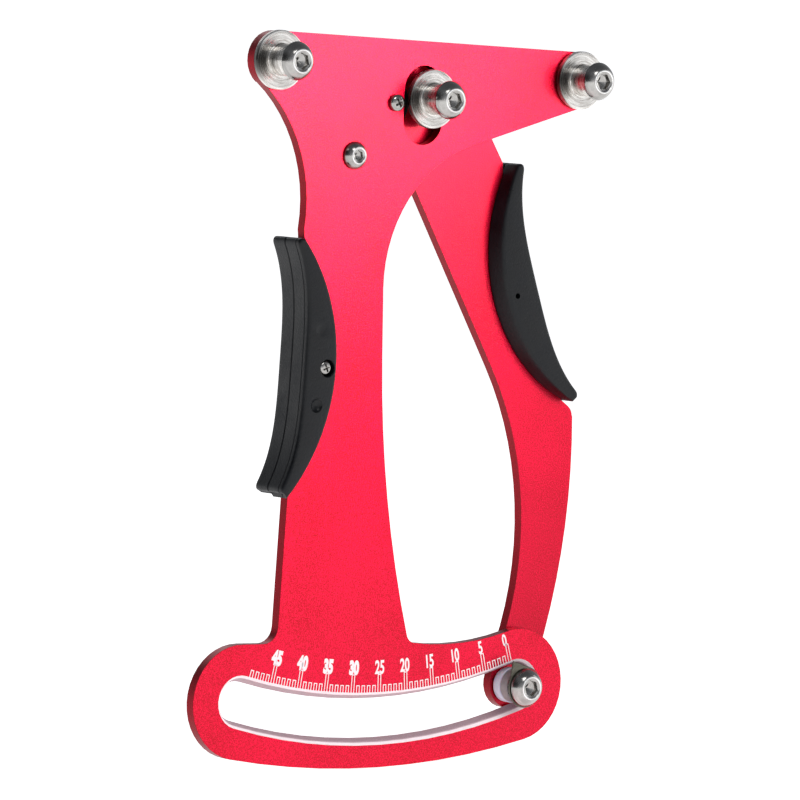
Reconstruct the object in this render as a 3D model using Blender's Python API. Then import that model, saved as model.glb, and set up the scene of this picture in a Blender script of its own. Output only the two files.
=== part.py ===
import math

import bmesh
import bpy
from mathutils import Vector

# Spoke tension meter. X runs to the right, Y to the back and Z up, and the scale plate's front face is Y = 0.
# Every size below is in millimetres, measured from the lever's pivot, and is written once.
MM = 0.001
SEAT_GAP = 0.25
CHORD_ERROR = 0.05
END_STEPS = 14

# Plates
PLATE_THICKNESS = 3.0
PLATE_SPACING = 1.0
PLATE_EDGE_BREAK = 0.25

# The three posts: the fixed ones carry the spoke's outer sides, the moving one presses between them
LEFT_POST = (-40.0, 12.8)
RIGHT_POST = (63.6, 4.2)
POST_ARM = 11.7
POST_ARM_RISE = math.radians(3.4)
POST_FLANGE_RADIUS = 8.05
POST_FLANGE_THICKNESS = 1.75
POST_SLEEVE_RADIUS = 4.7
POST_SLEEVE_LENGTH = 6.6
POST_FILLET = 0.8
POST_SCREW_RADIUS = 3.0
POST_HEAD_RADIUS = 5.25
POST_HEAD_HEIGHT = 2.8
POST_SOCKET_WIDTH = 4.0
HEAD_FLAT_SHARE = 0.58
HEAD_SWELL_SHARE = 0.1
POST_SPIGOT_RADIUS = 4.0
POST_WASHER_RADIUS = 6.0
POST_WASHER_THICKNESS = 1.0
POST_NUT_WIDTH = 10.0
POST_NUT_HEIGHT = 4.0
POST_THIN_NUT_HEIGHT = 2.1

# Bar between the fixed posts and the throat under it
BAR_CORNER_RADIUS = 7.8
THROAT_CENTRE = (35.5, -51.3)
THROAT_RADIUS = 39.7
WINDOW_ROOM = 2.7
WINDOW_SHIFT_TOP = (-1.9, 2.5)
WINDOW_SHIFT_BOTTOM = (-0.9, 0.5)

# Scale and its curved slot, as angles from straight down, positive to the right
SLOT_RADIUS = 168.15
SLOT_HALF_WIDTH = 5.4
SLOT_TAPER = 0.85
SLOT_CHAMFER = 1.0
ZERO_ANGLE = math.radians(14.35)
SLOT_RIGHT_ANGLE = math.radians(14.6)
SLOT_LEFT_ANGLE = math.radians(-18.3)
SWING = math.radians(32.4)
LOBE_RADIUS = 15.65
BOW_RISE = 80.0
LEG_FILLET = 3.0
LEG_RIGHT_ROUND = (295.4, -75.0, -300.0)
BOW_RIGHT_RISE = (21.0, 104.35, -85.66)
LEG_LEFT_RISE = (8.2, 19.75, -4.6)
WAIST_MIDDLE = (-30.4, -21.0)
WAIST_TOP = (-34.6, -6.2)

# Pivot
PIVOT_SCREW_RADIUS = 1.5
PIVOT_HEAD_RADIUS = 2.35
PIVOT_HEAD_HEIGHT = 1.5
PIVOT_BUSH_RADIUS = 2.6
PIVOT_WASHER_RADIUS = 4.2
PIVOT_WASHER_THICKNESS = 0.8
PIVOT_NUT_WIDTH = 5.5
PIVOT_NUT_HEIGHT = 3.0
PIVOT_LOBE_RADIUS = 8.5
HOLE_ROOM = 0.25
SCREW_END = 0.4

# Return spring, from the post on the scale plate's screw to the pin in the lever's ear
SPRING_SCREW = (-14.0, -13.8)
SPRING_SCREW_RADIUS = 2.0
SPRING_SCREW_HEAD_RADIUS = 3.8
SPRING_SCREW_HEAD_HEIGHT = 2.0
SPRING_SCREW_SOCKET_WIDTH = 2.5
SPRING_POST_RADIUS = 3.5
SPRING_NECK_RADIUS = 2.25
SPRING_PIN = (-11.0, 8.5)
SPRING_PIN_RADIUS = 2.0
SPRING_PIN_COLLAR_RADIUS = 3.5
EAR_RADIUS = 4.2
SPRING_COIL_RADIUS = 3.3
SPRING_WIRE_RADIUS = 0.6
SPRING_TURN_GAP = 0.3
SPRING_BACK = 4.7
SPRING_CAP_THICKNESS = 2.3

# Lever; the rounds of its leg are placed from the pointer bolt, so that they follow the slot's radius
LEVER_POST_LOBE = 8.5
LEVER_NECK_ROUND = (27.0, -8.9, 7.0)
LEVER_THROAT_ROUND = (0.0, -22.3, -7.85)
LEVER_INNER_FROM_BOLT = (-84.9, 46.2, -90.2)
LEVER_OUTER_FROM_BOLT = (-158.35, 72.46, 181.77)
LEVER_HEEL_FROM_BOLT = (-2.27, 11.0, 14.0)
LEVER_SHOULDER_RADIUS = 3.6
LEVER_SHOULDER_SHIFT = (0.5, -4.9)
LUG_FROM_BOLT = (1.43, 0.36, 7.2)

# Pointer bolt at the lug
BUSH_RADIUS = 4.9
BUSH_LENGTH = 4.1
COLLAR_RADIUS = 4.5
COLLAR_LENGTH = 2.3
LOCK_WASHER_RADIUS = 5.2
LOCK_WASHER_THICKNESS = 0.7
LOCK_WASHER_TEETH = 16
POINTER_THICKNESS = 0.5
POINTER_RADIUS = 5.7
POINTER_REACH = 8.5
POINTER_TIP_ANGLE = math.radians(13.57)
POINTER_SCREW_RADIUS = 2.5

# Grips: one crescent moulding, given by its chord and by how far its two sides bulge from that chord
GRIP_LENGTH = 68.0
GRIP_HALF_DEPTH = 6.4
GRIP_HOLLOW = 5.95
GRIP_HOLLOW_START = -1.25
GRIP_HOLLOW_POWER = 3.4
GRIP_CORNER = 1.8
GRIP_SCREWED_HEEL = 1.2
GRIP_BLIND_HEEL = 0.5
GRIP_BELLY = 13.4
GRIP_TIP_WIDTH = 1.6
GRIP_DRAFT = 2.0
GRIP_ROUNDING = 0.7
GRIP_BELLY_ROUNDING = 0.25
GRIP_SEAM_SHIFT = 0.5
GRIP_SEAT = 7.8
GRIP_SCREW_ALONG = 34.2
GRIP_SCREW_ACROSS = 12.0
GRIP_SCREW_RADIUS = 0.9
GRIP_SCREW_HEAD_RADIUS = 2.1
GRIP_SCREW_HEAD_HEIGHT = 1.3
GRIP_SCREW_SINK = 0.5
GRIP_MARK_OFFSET = 10.2
GRIP_MARK_ACROSS = 9.1
GRIP_MARK_RADIUS = 1.7
GRIP_MARK_DEPTH = 0.4
GRIP_REACH = 20.0
GRIP_POCKET_RUN = 4.0
LEFT_GRIP_TOP = (-35.7, -35.4)
LEFT_GRIP_LEAN = math.radians(5.14)
RIGHT_GRIP_TOP = (43.6, -18.4)
RIGHT_GRIP_LEAN = math.radians(16.45)

# Depths that follow from the stack of plates
LEVER_FRONT = PLATE_THICKNESS + PLATE_SPACING
LEVER_BACK = LEVER_FRONT + PLATE_THICKNESS


def polar(radius, angle):
    return (radius * math.sin(angle), -radius * math.cos(angle))


def offset(point, shift):
    return (point[0] + shift[0], point[1] + shift[1])


# Turned about the pivot by a swing of the lever, which carries its lower end to the left
def swung(point, angle):
    c, s = math.cos(angle), math.sin(angle)
    return (point[0] * c + point[1] * s, point[1] * c - point[0] * s)


MOVING_POST = (POST_ARM * math.cos(POST_ARM_RISE), POST_ARM * math.sin(POST_ARM_RISE))
POINTER_BOLT = polar(SLOT_RADIUS, ZERO_ANGLE)


# A round given by the place of its centre counted from another point
def round_from(point, peg):
    return (*offset(point, peg[:2]), peg[2])


def arc_steps(radius, sweep):
    if radius <= CHORD_ERROR:
        return 1
    step = 2.0 * math.acos(1.0 - CHORD_ERROR / radius)
    return max(1, math.ceil(abs(sweep) / step))


def arc_points(centre, radius, start, sweep):
    steps = arc_steps(radius, sweep)
    angles = [start + sweep * i / steps for i in range(steps + 1)]
    return [(centre[0] + radius * math.cos(a), centre[1] + radius * math.sin(a)) for a in angles]


# An outline drawn like a belt round pegs (x, z, radius), clockwise seen from the front. A positive radius is
# an outside round, a negative one a hollow, and zero a plain corner.
def belt(pegs):
    count = len(pegs)
    normals = []
    for i in range(count):
        x1, z1, r1 = pegs[i]
        x2, z2, r2 = pegs[(i + 1) % count]
        gap = math.hypot(x2 - x1, z2 - z1)
        along = max(-1.0, min(1.0, (r1 - r2) / gap))
        heading = math.atan2(z2 - z1, x2 - x1)
        normals.append(heading + math.acos(along))
    points = []
    for i in range(count):
        x, z, r = pegs[i]
        start, end = normals[i - 1], normals[i]
        if r == 0.0:
            points.append((x, z))
            continue
        sweep = (start - end) % (2 * math.pi) if r > 0 else (end - start) % (2 * math.pi)
        if sweep > math.radians(350):
            sweep = 0.0
        if r > 0:
            points += arc_points((x, z), r, start, -sweep)
        else:
            points += arc_points((x, z), -r, start + math.pi, sweep)
    tidy = []
    for p in points:
        if not tidy or math.dist(p, tidy[-1]) > 0.02:
            tidy.append(p)
    if math.dist(tidy[0], tidy[-1]) < 0.02:
        tidy.pop()
    return tidy


# The hollow peg whose circle passes through three points
def hollow_through(a, b, c):
    d = 2 * (a[0] * (b[1] - c[1]) + b[0] * (c[1] - a[1]) + c[0] * (a[1] - b[1]))
    sa, sb, sc = (p[0] ** 2 + p[1] ** 2 for p in (a, b, c))
    x = (sa * (b[1] - c[1]) + sb * (c[1] - a[1]) + sc * (a[1] - b[1])) / d
    z = (sa * (c[0] - b[0]) + sb * (a[0] - c[0]) + sc * (b[0] - a[0])) / d
    return (x, z, -math.dist((x, z), a))


def clear_scene():
    for obj in list(bpy.data.objects):
        bpy.data.objects.remove(obj, do_unlink=True)


def make_material(name, colour, metallic, roughness):
    material = bpy.data.materials.new(name)
    material.use_nodes = True
    shader = material.node_tree.nodes["Principled BSDF"]
    shader.inputs["Base Color"].default_value = (*colour, 1.0)
    shader.inputs["Metallic"].default_value = metallic
    shader.inputs["Roughness"].default_value = roughness
    return material


FINISHES = {
    "red_anodised": ((0.80, 0.02, 0.08), 0.75, 0.38),
    "stainless": ((0.72, 0.70, 0.67), 1.0, 0.22),
    "plated_steel": ((0.55, 0.55, 0.56), 1.0, 0.32),
    "dark_steel": ((0.10, 0.10, 0.11), 1.0, 0.40),
    "black_plastic": ((0.018, 0.019, 0.021), 0.0, 0.45),
    "nylon": ((0.86, 0.85, 0.86), 0.0, 0.40),
    "spring_steel": ((0.45, 0.45, 0.46), 1.0, 0.28),
}


def new_object(name, bm, parent, finish, at=(0.0, 0.0)):
    bmesh.ops.recalc_face_normals(bm, faces=bm.faces)
    mesh = bpy.data.meshes.new(name)
    bm.to_mesh(mesh)
    bm.free()
    mesh.shade_smooth()
    mesh.set_sharp_from_angle(angle=math.radians(32))
    obj = bpy.data.objects.new(name, mesh)
    bpy.context.scene.collection.objects.link(obj)
    obj.parent = parent
    obj.location = (at[0] * MM, 0.0, at[1] * MM)
    colour, metallic, roughness = FINISHES[finish]
    mesh.materials.append(make_material(name, colour, metallic, roughness))
    return obj


def ring_of(bm, outline, y):
    return [bm.verts.new((x * MM, y * MM, z * MM)) for x, z in outline]


# A solid through rings of equal count, each given as (depth, outline)
def loft(rings):
    bm = bmesh.new()
    rows = [ring_of(bm, outline, y) for y, outline in rings]
    bm.faces.new(rows[0])
    bm.faces.new(list(reversed(rows[-1])))
    for near, far in zip(rows, rows[1:]):
        for i in range(len(near)):
            j = (i + 1) % len(near)
            bm.faces.new((near[i], near[j], far[j], far[i]))
    return bm


def slab(outline, front, back):
    return loft([(front, outline), (back, outline)])


# A turned solid about the Y axis from a closed profile of (radius, depth); radius zero lies on the axis
def turned(profile, segments=36):
    bm = bmesh.new()
    verts = [bm.verts.new((r * MM, y * MM, 0.0)) for r, y in profile]
    edges = [bm.edges.new((verts[i], verts[(i + 1) % len(verts)])) for i in range(len(verts))
             if not (profile[i][0] == 0 and profile[(i + 1) % len(verts)][0] == 0)]
    bmesh.ops.spin(bm, geom=verts + edges, cent=(0, 0, 0), axis=(0, 1, 0), angle=2 * math.pi,
                   steps=segments, use_merge=True, use_duplicate=False)
    bmesh.ops.remove_doubles(bm, verts=bm.verts, dist=0.0005 * MM)
    bmesh.ops.delete(bm, geom=[v for v in bm.verts if not v.link_faces], context="VERTS")
    return bm


def circle(radius, count=36, centre=(0.0, 0.0), turn=0.0):
    angles = [turn - 2 * math.pi * i / count for i in range(count)]
    return [(centre[0] + radius * math.cos(a), centre[1] + radius * math.sin(a)) for a in angles]


def hexagon(width, turn=0.0):
    return circle(width / math.sqrt(3), 6, turn=turn)


def cut(obj, bm, name, at=(0.0, 0.0)):
    bmesh.ops.recalc_face_normals(bm, faces=bm.faces)
    mesh = bpy.data.meshes.new(name)
    bm.to_mesh(mesh)
    bm.free()
    cutter = bpy.data.objects.new(name, mesh)
    bpy.context.scene.collection.objects.link(cutter)
    cutter.parent = obj.parent
    cutter.location = (at[0] * MM, 0.0, at[1] * MM)
    cutter.hide_render = True
    cutter.display_type = "WIRE"
    modifier = obj.modifiers.new(name, "BOOLEAN")
    modifier.operation = "DIFFERENCE"
    modifier.solver = "EXACT"
    modifier.object = cutter


def break_edges(obj, width):
    modifier = obj.modifiers.new("edge_break", "BEVEL")
    modifier.width = width * MM
    modifier.segments = 1
    modifier.limit_method = "ANGLE"
    modifier.angle_limit = math.radians(60)


# Places along and across a grip's chord, counted from its top tip; side is 1 where the belly faces right
def grip_frame(top, lean, side):
    along = (-math.sin(lean), -math.cos(lean)) if side > 0 else (math.sin(lean), -math.cos(lean))
    across = (math.cos(lean), -math.sin(lean)) if side > 0 else (-math.cos(lean), -math.sin(lean))

    def place(u, v):
        return (top[0] + u * along[0] + v * across[0], top[1] + u * along[1] + v * across[1])
    return place


LEFT_GRIP = grip_frame(LEFT_GRIP_TOP, LEFT_GRIP_LEAN, 1)
RIGHT_GRIP = grip_frame(RIGHT_GRIP_TOP, RIGHT_GRIP_LEAN, -1)


def hollow_side(u):
    reach = abs(2 * u / GRIP_LENGTH - 1)
    past = max(0.0, GRIP_CORNER - min(u, GRIP_LENGTH - u))
    corner = GRIP_CORNER - math.sqrt(GRIP_CORNER ** 2 - past ** 2)
    return GRIP_HOLLOW_START + GRIP_HOLLOW * (1 - reach ** GRIP_HOLLOW_POWER) + corner


def belly_side(u, bulge):
    sagitta = GRIP_BELLY + bulge
    radius = GRIP_LENGTH ** 2 / (8 * sagitta) + sagitta / 2
    return GRIP_TIP_WIDTH + math.sqrt(radius ** 2 - (u - GRIP_LENGTH / 2) ** 2) - (radius - sagitta)


# The edge of the plate inside a grip, an arc inside the grip's hollow side
def grip_seat(frame, above, below):
    middle = frame(GRIP_LENGTH / 2, GRIP_SEAT)
    return hollow_through(above, middle, below)


LEFT_EDGE_ABOVE = LEFT_GRIP(-2.6, 4.4)
LEFT_EDGE_BELOW = LEFT_GRIP(GRIP_LENGTH + 2.4, 5.1)
RIGHT_EDGE_ABOVE = RIGHT_GRIP(-1.5, 3.1)
RIGHT_EDGE_BELOW = RIGHT_GRIP(GRIP_LENGTH + 0.4, 2.2)
RIGHT_LOBE = polar(SLOT_RADIUS, SLOT_RIGHT_ANGLE)
LEFT_LOBE = polar(SLOT_RADIUS, SLOT_LEFT_ANGLE)


# The bow's centre lies above the pivot, opposite the middle of the slot, and its edge wraps both lobes
def bow_outer():
    middle = (SLOT_LEFT_ANGLE + SLOT_RIGHT_ANGLE) / 2
    x, z = polar(-BOW_RISE, middle)
    return (x, z, math.dist((x, z), RIGHT_LOBE) + LOBE_RADIUS)


# The fillet in the corner between two hollow rounds, at the lower of the two places that touch both
def corner_fillet(first, second, radius):
    (ax, az, ar), (bx, bz, br) = first, second
    reach_a, reach_b = -ar - radius, -br - radius
    gap = math.hypot(bx - ax, bz - az)
    along = (reach_a ** 2 - reach_b ** 2 + gap ** 2) / (2 * gap)
    off = math.sqrt(reach_a ** 2 - along ** 2)
    ux, uz = (bx - ax) / gap, (bz - az) / gap
    places = [(ax + along * ux - k * off * uz, az + along * uz + k * off * ux) for k in (1, -1)]
    return (*min(places, key=lambda place: place[1]), -radius)


def scale_plate_outline():
    waist_left = hollow_through(LEFT_EDGE_ABOVE, WAIST_MIDDLE, WAIST_TOP)
    bow_right = round_from((0.0, -SLOT_RADIUS), BOW_RIGHT_RISE)
    return belt([
        (*LEFT_POST, BAR_CORNER_RADIUS),
        (*RIGHT_POST, BAR_CORNER_RADIUS),
        (*THROAT_CENTRE, -THROAT_RADIUS),
        LEG_RIGHT_ROUND,
        corner_fillet(LEG_RIGHT_ROUND, bow_right, LEG_FILLET),
        bow_right,
        (*RIGHT_LOBE, LOBE_RADIUS),
        bow_outer(),
        (*LEFT_LOBE, LOBE_RADIUS),
        round_from(LEFT_LOBE, LEG_LEFT_RISE),
        (*LEFT_EDGE_BELOW, 0.0),
        grip_seat(LEFT_GRIP, LEFT_EDGE_ABOVE, LEFT_EDGE_BELOW),
        (*LEFT_EDGE_ABOVE, 0.0),
        waist_left,
    ])


def slot_outline(grow):
    half = SLOT_HALF_WIDTH + grow
    down = -math.pi / 2
    first, last = down + SLOT_LEFT_ANGLE, down + SLOT_RIGHT_ANGLE
    sweep = last - first
    points = arc_points((0, 0), SLOT_RADIUS - half, first, sweep)
    points += [(RIGHT_LOBE[0] - half * math.cos(last - math.pi * i / END_STEPS),
                RIGHT_LOBE[1] - half * math.sin(last - math.pi * i / END_STEPS)) for i in range(1, END_STEPS)]
    steps = arc_steps(SLOT_RADIUS - half, sweep)
    outer = [last - sweep * i / steps for i in range(steps + 1)]
    points += [((SLOT_RADIUS + half) * math.cos(a), (SLOT_RADIUS + half) * math.sin(a)) for a in outer]
    points += [(LEFT_LOBE[0] + half * math.cos(first - math.pi * i / END_STEPS),
                LEFT_LOBE[1] + half * math.sin(first - math.pi * i / END_STEPS)) for i in range(1, END_STEPS)]
    return points


# The window follows the moving post from its rest to the end of its swing
def window_outline():
    top = offset(MOVING_POST, WINDOW_SHIFT_TOP)
    bottom = offset(swung(MOVING_POST, SWING), WINDOW_SHIFT_BOTTOM)
    radius = POST_SPIGOT_RADIUS + WINDOW_ROOM
    return belt([(*top, radius), (*bottom, radius)])


def cut_hole(plate, name, at, radius, front, back):
    cut(plate, slab(circle(radius, 28), front - 1.0, back + 1.0), name, at)


def scale_plate(parent):
    plate = new_object("scale_plate", slab(scale_plate_outline(), 0.0, PLATE_THICKNESS), parent, "red_anodised")
    break_edges(plate, PLATE_EDGE_BREAK)
    flare = loft([(-1.0, slot_outline(SLOT_TAPER + SLOT_CHAMFER + 1.0)), (SLOT_CHAMFER, slot_outline(SLOT_TAPER)),
                  (PLATE_THICKNESS, slot_outline(0.0)), (PLATE_THICKNESS + 1.0, slot_outline(0.0))])
    cut(plate, flare, "slot_cutter")
    cut(plate, slab(window_outline(), -1.0, PLATE_THICKNESS + 1.0), "window_cutter")
    holes = {
        "left_post_hole": (LEFT_POST, POST_SCREW_RADIUS),
        "right_post_hole": (RIGHT_POST, POST_SCREW_RADIUS),
        "pivot_hole": ((0.0, 0.0), PIVOT_SCREW_RADIUS),
        "spring_screw_hole": (SPRING_SCREW, SPRING_SCREW_RADIUS),
        "left_grip_hole": (LEFT_GRIP(GRIP_SCREW_ALONG, GRIP_SCREW_ACROSS), GRIP_SCREW_RADIUS),
    }
    for name, (at, radius) in holes.items():
        cut_hole(plate, name, at, radius + HOLE_ROOM, 0.0, PLATE_THICKNESS)


def lever_outline():
    shoulder = offset(RIGHT_EDGE_BELOW, LEVER_SHOULDER_SHIFT)
    return belt([
        (*SPRING_PIN, EAR_RADIUS),
        (*MOVING_POST, LEVER_POST_LOBE),
        LEVER_NECK_ROUND,
        (*RIGHT_EDGE_ABOVE, 0.0),
        grip_seat(RIGHT_GRIP, RIGHT_EDGE_ABOVE, RIGHT_EDGE_BELOW),
        (*RIGHT_EDGE_BELOW, 0.0),
        (*shoulder, LEVER_SHOULDER_RADIUS),
        round_from(POINTER_BOLT, LEVER_OUTER_FROM_BOLT),
        round_from(POINTER_BOLT, LEVER_HEEL_FROM_BOLT),
        round_from(POINTER_BOLT, LUG_FROM_BOLT),
        round_from(POINTER_BOLT, LEVER_INNER_FROM_BOLT),
        LEVER_THROAT_ROUND,
        (0.0, 0.0, PIVOT_LOBE_RADIUS),
    ])


def lever_plate(parent):
    plate = new_object("lever_plate", slab(lever_outline(), LEVER_FRONT, LEVER_BACK), parent, "red_anodised")
    break_edges(plate, PLATE_EDGE_BREAK)
    holes = {
        "lever_post_hole": (MOVING_POST, POST_SCREW_RADIUS),
        "lever_pivot_hole": ((0.0, 0.0), PIVOT_BUSH_RADIUS),
        "lever_pin_hole": (SPRING_PIN, SPRING_PIN_RADIUS),
        "lug_hole": (POINTER_BOLT, POINTER_SCREW_RADIUS),
        "right_grip_hole": (RIGHT_GRIP(GRIP_SCREW_ALONG, GRIP_SCREW_ACROSS), GRIP_SCREW_RADIUS),
    }
    for name, (at, radius) in holes.items():
        cut_hole(plate, name, at, radius + HOLE_ROOM, LEVER_FRONT, LEVER_BACK)


POST_FRONT = -SEAT_GAP - POST_FLANGE_THICKNESS - POST_SLEEVE_LENGTH


# A post is one turned spool: flange, filleted sleeve and, on the moving one, a spigot through the window
def post(name, at, parent, spigot_back=None):
    bore = POST_SCREW_RADIUS + HOLE_ROOM
    back = -SEAT_GAP
    flange_front = back - POST_FLANGE_THICKNESS
    profile = [(bore, POST_FRONT), (POST_SLEEVE_RADIUS - 0.4, POST_FRONT), (POST_SLEEVE_RADIUS, POST_FRONT + 0.4)]
    for i in range(4):
        a = math.radians(30 * i)
        profile.append((POST_SLEEVE_RADIUS + POST_FILLET * (1 - math.cos(a)),
                        flange_front - POST_FILLET * (1 - math.sin(a))))
    profile += [(POST_FLANGE_RADIUS - 0.3, flange_front), (POST_FLANGE_RADIUS, flange_front + 0.3),
                (POST_FLANGE_RADIUS, back - 0.3), (POST_FLANGE_RADIUS - 0.3, back)]
    if spigot_back is None:
        profile.append((bore, back))
    else:
        profile += [(POST_SPIGOT_RADIUS, back), (POST_SPIGOT_RADIUS, spigot_back), (bore, spigot_back)]
    return new_object(name, turned(profile, 32), parent, "stainless", at)


# A button head screw: swelling cone, flat top round the hex socket, plain shank
def button_screw(name, at, parent, seat, head, shank, shank_back, socket_width):
    head_radius, head_height = head
    top = seat - head_height
    rim = head_height * 0.1
    inward, rise = head_radius * (1 - HEAD_FLAT_SHARE), head_height - rim
    swell = head_height * HEAD_SWELL_SHARE / math.hypot(inward, rise)
    profile = [(0.0, top)]
    for i in range(5):
        t = i / 4
        bow = swell * 4 * t * (1 - t)
        profile.append((head_radius * HEAD_FLAT_SHARE + inward * t + rise * bow, top + rise * t - inward * bow))
    profile += [(head_radius, seat), (shank, seat), (shank, shank_back - 0.4), (shank - 0.4, shank_back),
                (0.0, shank_back)]
    screw = new_object(name, turned(profile, 28), parent, "stainless", at)
    socket = loft([(top - 1.0, hexagon(socket_width)), (top + head_height * 0.65, hexagon(socket_width))])
    cut(screw, socket, name + "_socket", at)
    return screw


# A pan head screw with a cross recess
def cross_screw(name, at, parent, seat, head, shank, shank_end, facing=-1, finish="stainless"):
    head_radius, head_height = head
    top = seat + facing * head_height
    profile = [(0.0, top), (head_radius * 0.55, top), (head_radius * 0.85, top - facing * head_height * 0.22),
               (head_radius, top - facing * head_height * 0.6), (head_radius, seat), (shank, seat),
               (shank, shank_end), (0.0, shank_end)]
    screw = new_object(name, turned(profile, 20), parent, finish, at)
    arm, half = head_radius * 0.6, head_radius * 0.16
    cross = [(arm, half), (arm, -half), (half, -half), (half, -arm), (-half, -arm), (-half, -half),
             (-arm, -half), (-arm, half), (-half, half), (-half, arm), (half, arm), (half, half)]
    small = [(x * 0.5, z * 0.5) for x, z in cross]
    bottom = top - facing * head_height * 0.55
    depths = sorted([(top + facing * 0.5, cross), (bottom, small)], key=lambda ring: ring[0])
    cut(screw, loft(depths), name + "_cross", at)
    return screw


def washer(name, at, parent, front, back, inner, outer, finish):
    profile = [(inner, front), (outer, front), (outer, back), (inner, back)]
    return new_object(name, turned(profile, 24), parent, finish, at)


def hex_nut(name, at, parent, front, height, width, bore, finish="plated_steel"):
    nut = new_object(name, slab(hexagon(width, math.radians(30)), front, front + height), parent, finish, at)
    break_edges(nut, 0.25)
    cut(nut, slab(circle(bore, 28), front - 1.0, front + height + 1.0), name + "_bore", at)
    return nut


# The fixed posts have a thin nut on the plate's back, the moving one a washer and a full nut
def post_set(side, at, parent, plate_back, nut_height, spigot_back=None):
    post(side + "_post", at, parent, spigot_back)
    bore = POST_SCREW_RADIUS + HOLE_ROOM
    nut_front = plate_back + SEAT_GAP
    if spigot_back is not None:
        washer_back = nut_front + POST_WASHER_THICKNESS
        washer(side + "_post_washer", at, parent, nut_front, washer_back, bore, POST_WASHER_RADIUS, "plated_steel")
        nut_front = washer_back + SEAT_GAP
    button_screw(side + "_post_screw", at, parent, POST_FRONT - SEAT_GAP, (POST_HEAD_RADIUS, POST_HEAD_HEIGHT),
                 POST_SCREW_RADIUS, nut_front + nut_height + SCREW_END, POST_SOCKET_WIDTH)
    hex_nut(side + "_post_nut", at, parent, nut_front, nut_height, POST_NUT_WIDTH, bore)


# The pivot: a screw through both plates, a bush that the lever turns on, and a plastic spacer between the plates
def pivot_set(parent):
    at = (0.0, 0.0)
    bore = PIVOT_SCREW_RADIUS + HOLE_ROOM
    bush_front = PLATE_THICKNESS + SEAT_GAP
    bush_back = LEVER_BACK + SEAT_GAP
    washer_front = bush_back + SEAT_GAP
    washer_back = washer_front + PIVOT_WASHER_THICKNESS
    nut_front = washer_back + SEAT_GAP
    cross_screw("pivot_screw", at, parent, -SEAT_GAP, (PIVOT_HEAD_RADIUS, PIVOT_HEAD_HEIGHT), PIVOT_SCREW_RADIUS,
                nut_front + PIVOT_NUT_HEIGHT + SCREW_END)
    washer("pivot_bush", at, parent, bush_front, bush_back, bore, PIVOT_BUSH_RADIUS, "plated_steel")
    washer("pivot_spacer", at, parent, PLATE_THICKNESS + SEAT_GAP, LEVER_FRONT - SEAT_GAP,
           PIVOT_BUSH_RADIUS + HOLE_ROOM, PIVOT_LOBE_RADIUS - 1.5, "black_plastic")
    washer("pivot_washer", at, parent, washer_front, washer_back, bore, PIVOT_WASHER_RADIUS, "plated_steel")
    hex_nut("pivot_nut", at, parent, nut_front, PIVOT_NUT_HEIGHT, PIVOT_NUT_WIDTH, bore)


SPRING_DEPTH = LEVER_BACK + SPRING_BACK
NECK_FRONT = SPRING_DEPTH - SPRING_WIRE_RADIUS - SEAT_GAP
NECK_BACK = SPRING_DEPTH + SPRING_WIRE_RADIUS + SEAT_GAP


# The standoff behind the scale plate, with a neck for the spring's hook and a cap that keeps the hook on
def spring_post(parent):
    back = NECK_BACK + SPRING_CAP_THICKNESS
    bore = SPRING_SCREW_RADIUS + HOLE_ROOM
    front = PLATE_THICKNESS + SEAT_GAP
    profile = [(bore, front), (SPRING_POST_RADIUS, front), (SPRING_POST_RADIUS, NECK_FRONT),
               (SPRING_NECK_RADIUS + 0.3, NECK_FRONT), (SPRING_NECK_RADIUS + 0.3, NECK_BACK),
               (SPRING_POST_RADIUS, NECK_BACK), (SPRING_POST_RADIUS, back), (0.0, back),
               (0.0, NECK_FRONT), (bore, NECK_FRONT)]
    new_object("spring_post", turned(profile, 24), parent, "plated_steel", SPRING_SCREW)
    button_screw("spring_screw", SPRING_SCREW, parent, -SEAT_GAP,
                 (SPRING_SCREW_HEAD_RADIUS, SPRING_SCREW_HEAD_HEIGHT), SPRING_SCREW_RADIUS,
                 NECK_FRONT - SEAT_GAP, SPRING_SCREW_SOCKET_WIDTH)


# The pin in the lever's ear: shank in its hole, collar on the plate's back, neck and cap for the hook
def spring_pin(parent):
    back = NECK_BACK + SPRING_CAP_THICKNESS
    collar = LEVER_BACK + SEAT_GAP
    profile = [(0.0, LEVER_FRONT), (SPRING_PIN_RADIUS, LEVER_FRONT), (SPRING_PIN_RADIUS, collar),
               (SPRING_PIN_COLLAR_RADIUS, collar), (SPRING_PIN_COLLAR_RADIUS, NECK_FRONT),
               (SPRING_NECK_RADIUS, NECK_FRONT), (SPRING_NECK_RADIUS, NECK_BACK),
               (SPRING_PIN_COLLAR_RADIUS, NECK_BACK), (SPRING_PIN_COLLAR_RADIUS, back), (0.0, back)]
    new_object("spring_pin", turned(profile, 24), parent, "plated_steel", SPRING_PIN)


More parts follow.
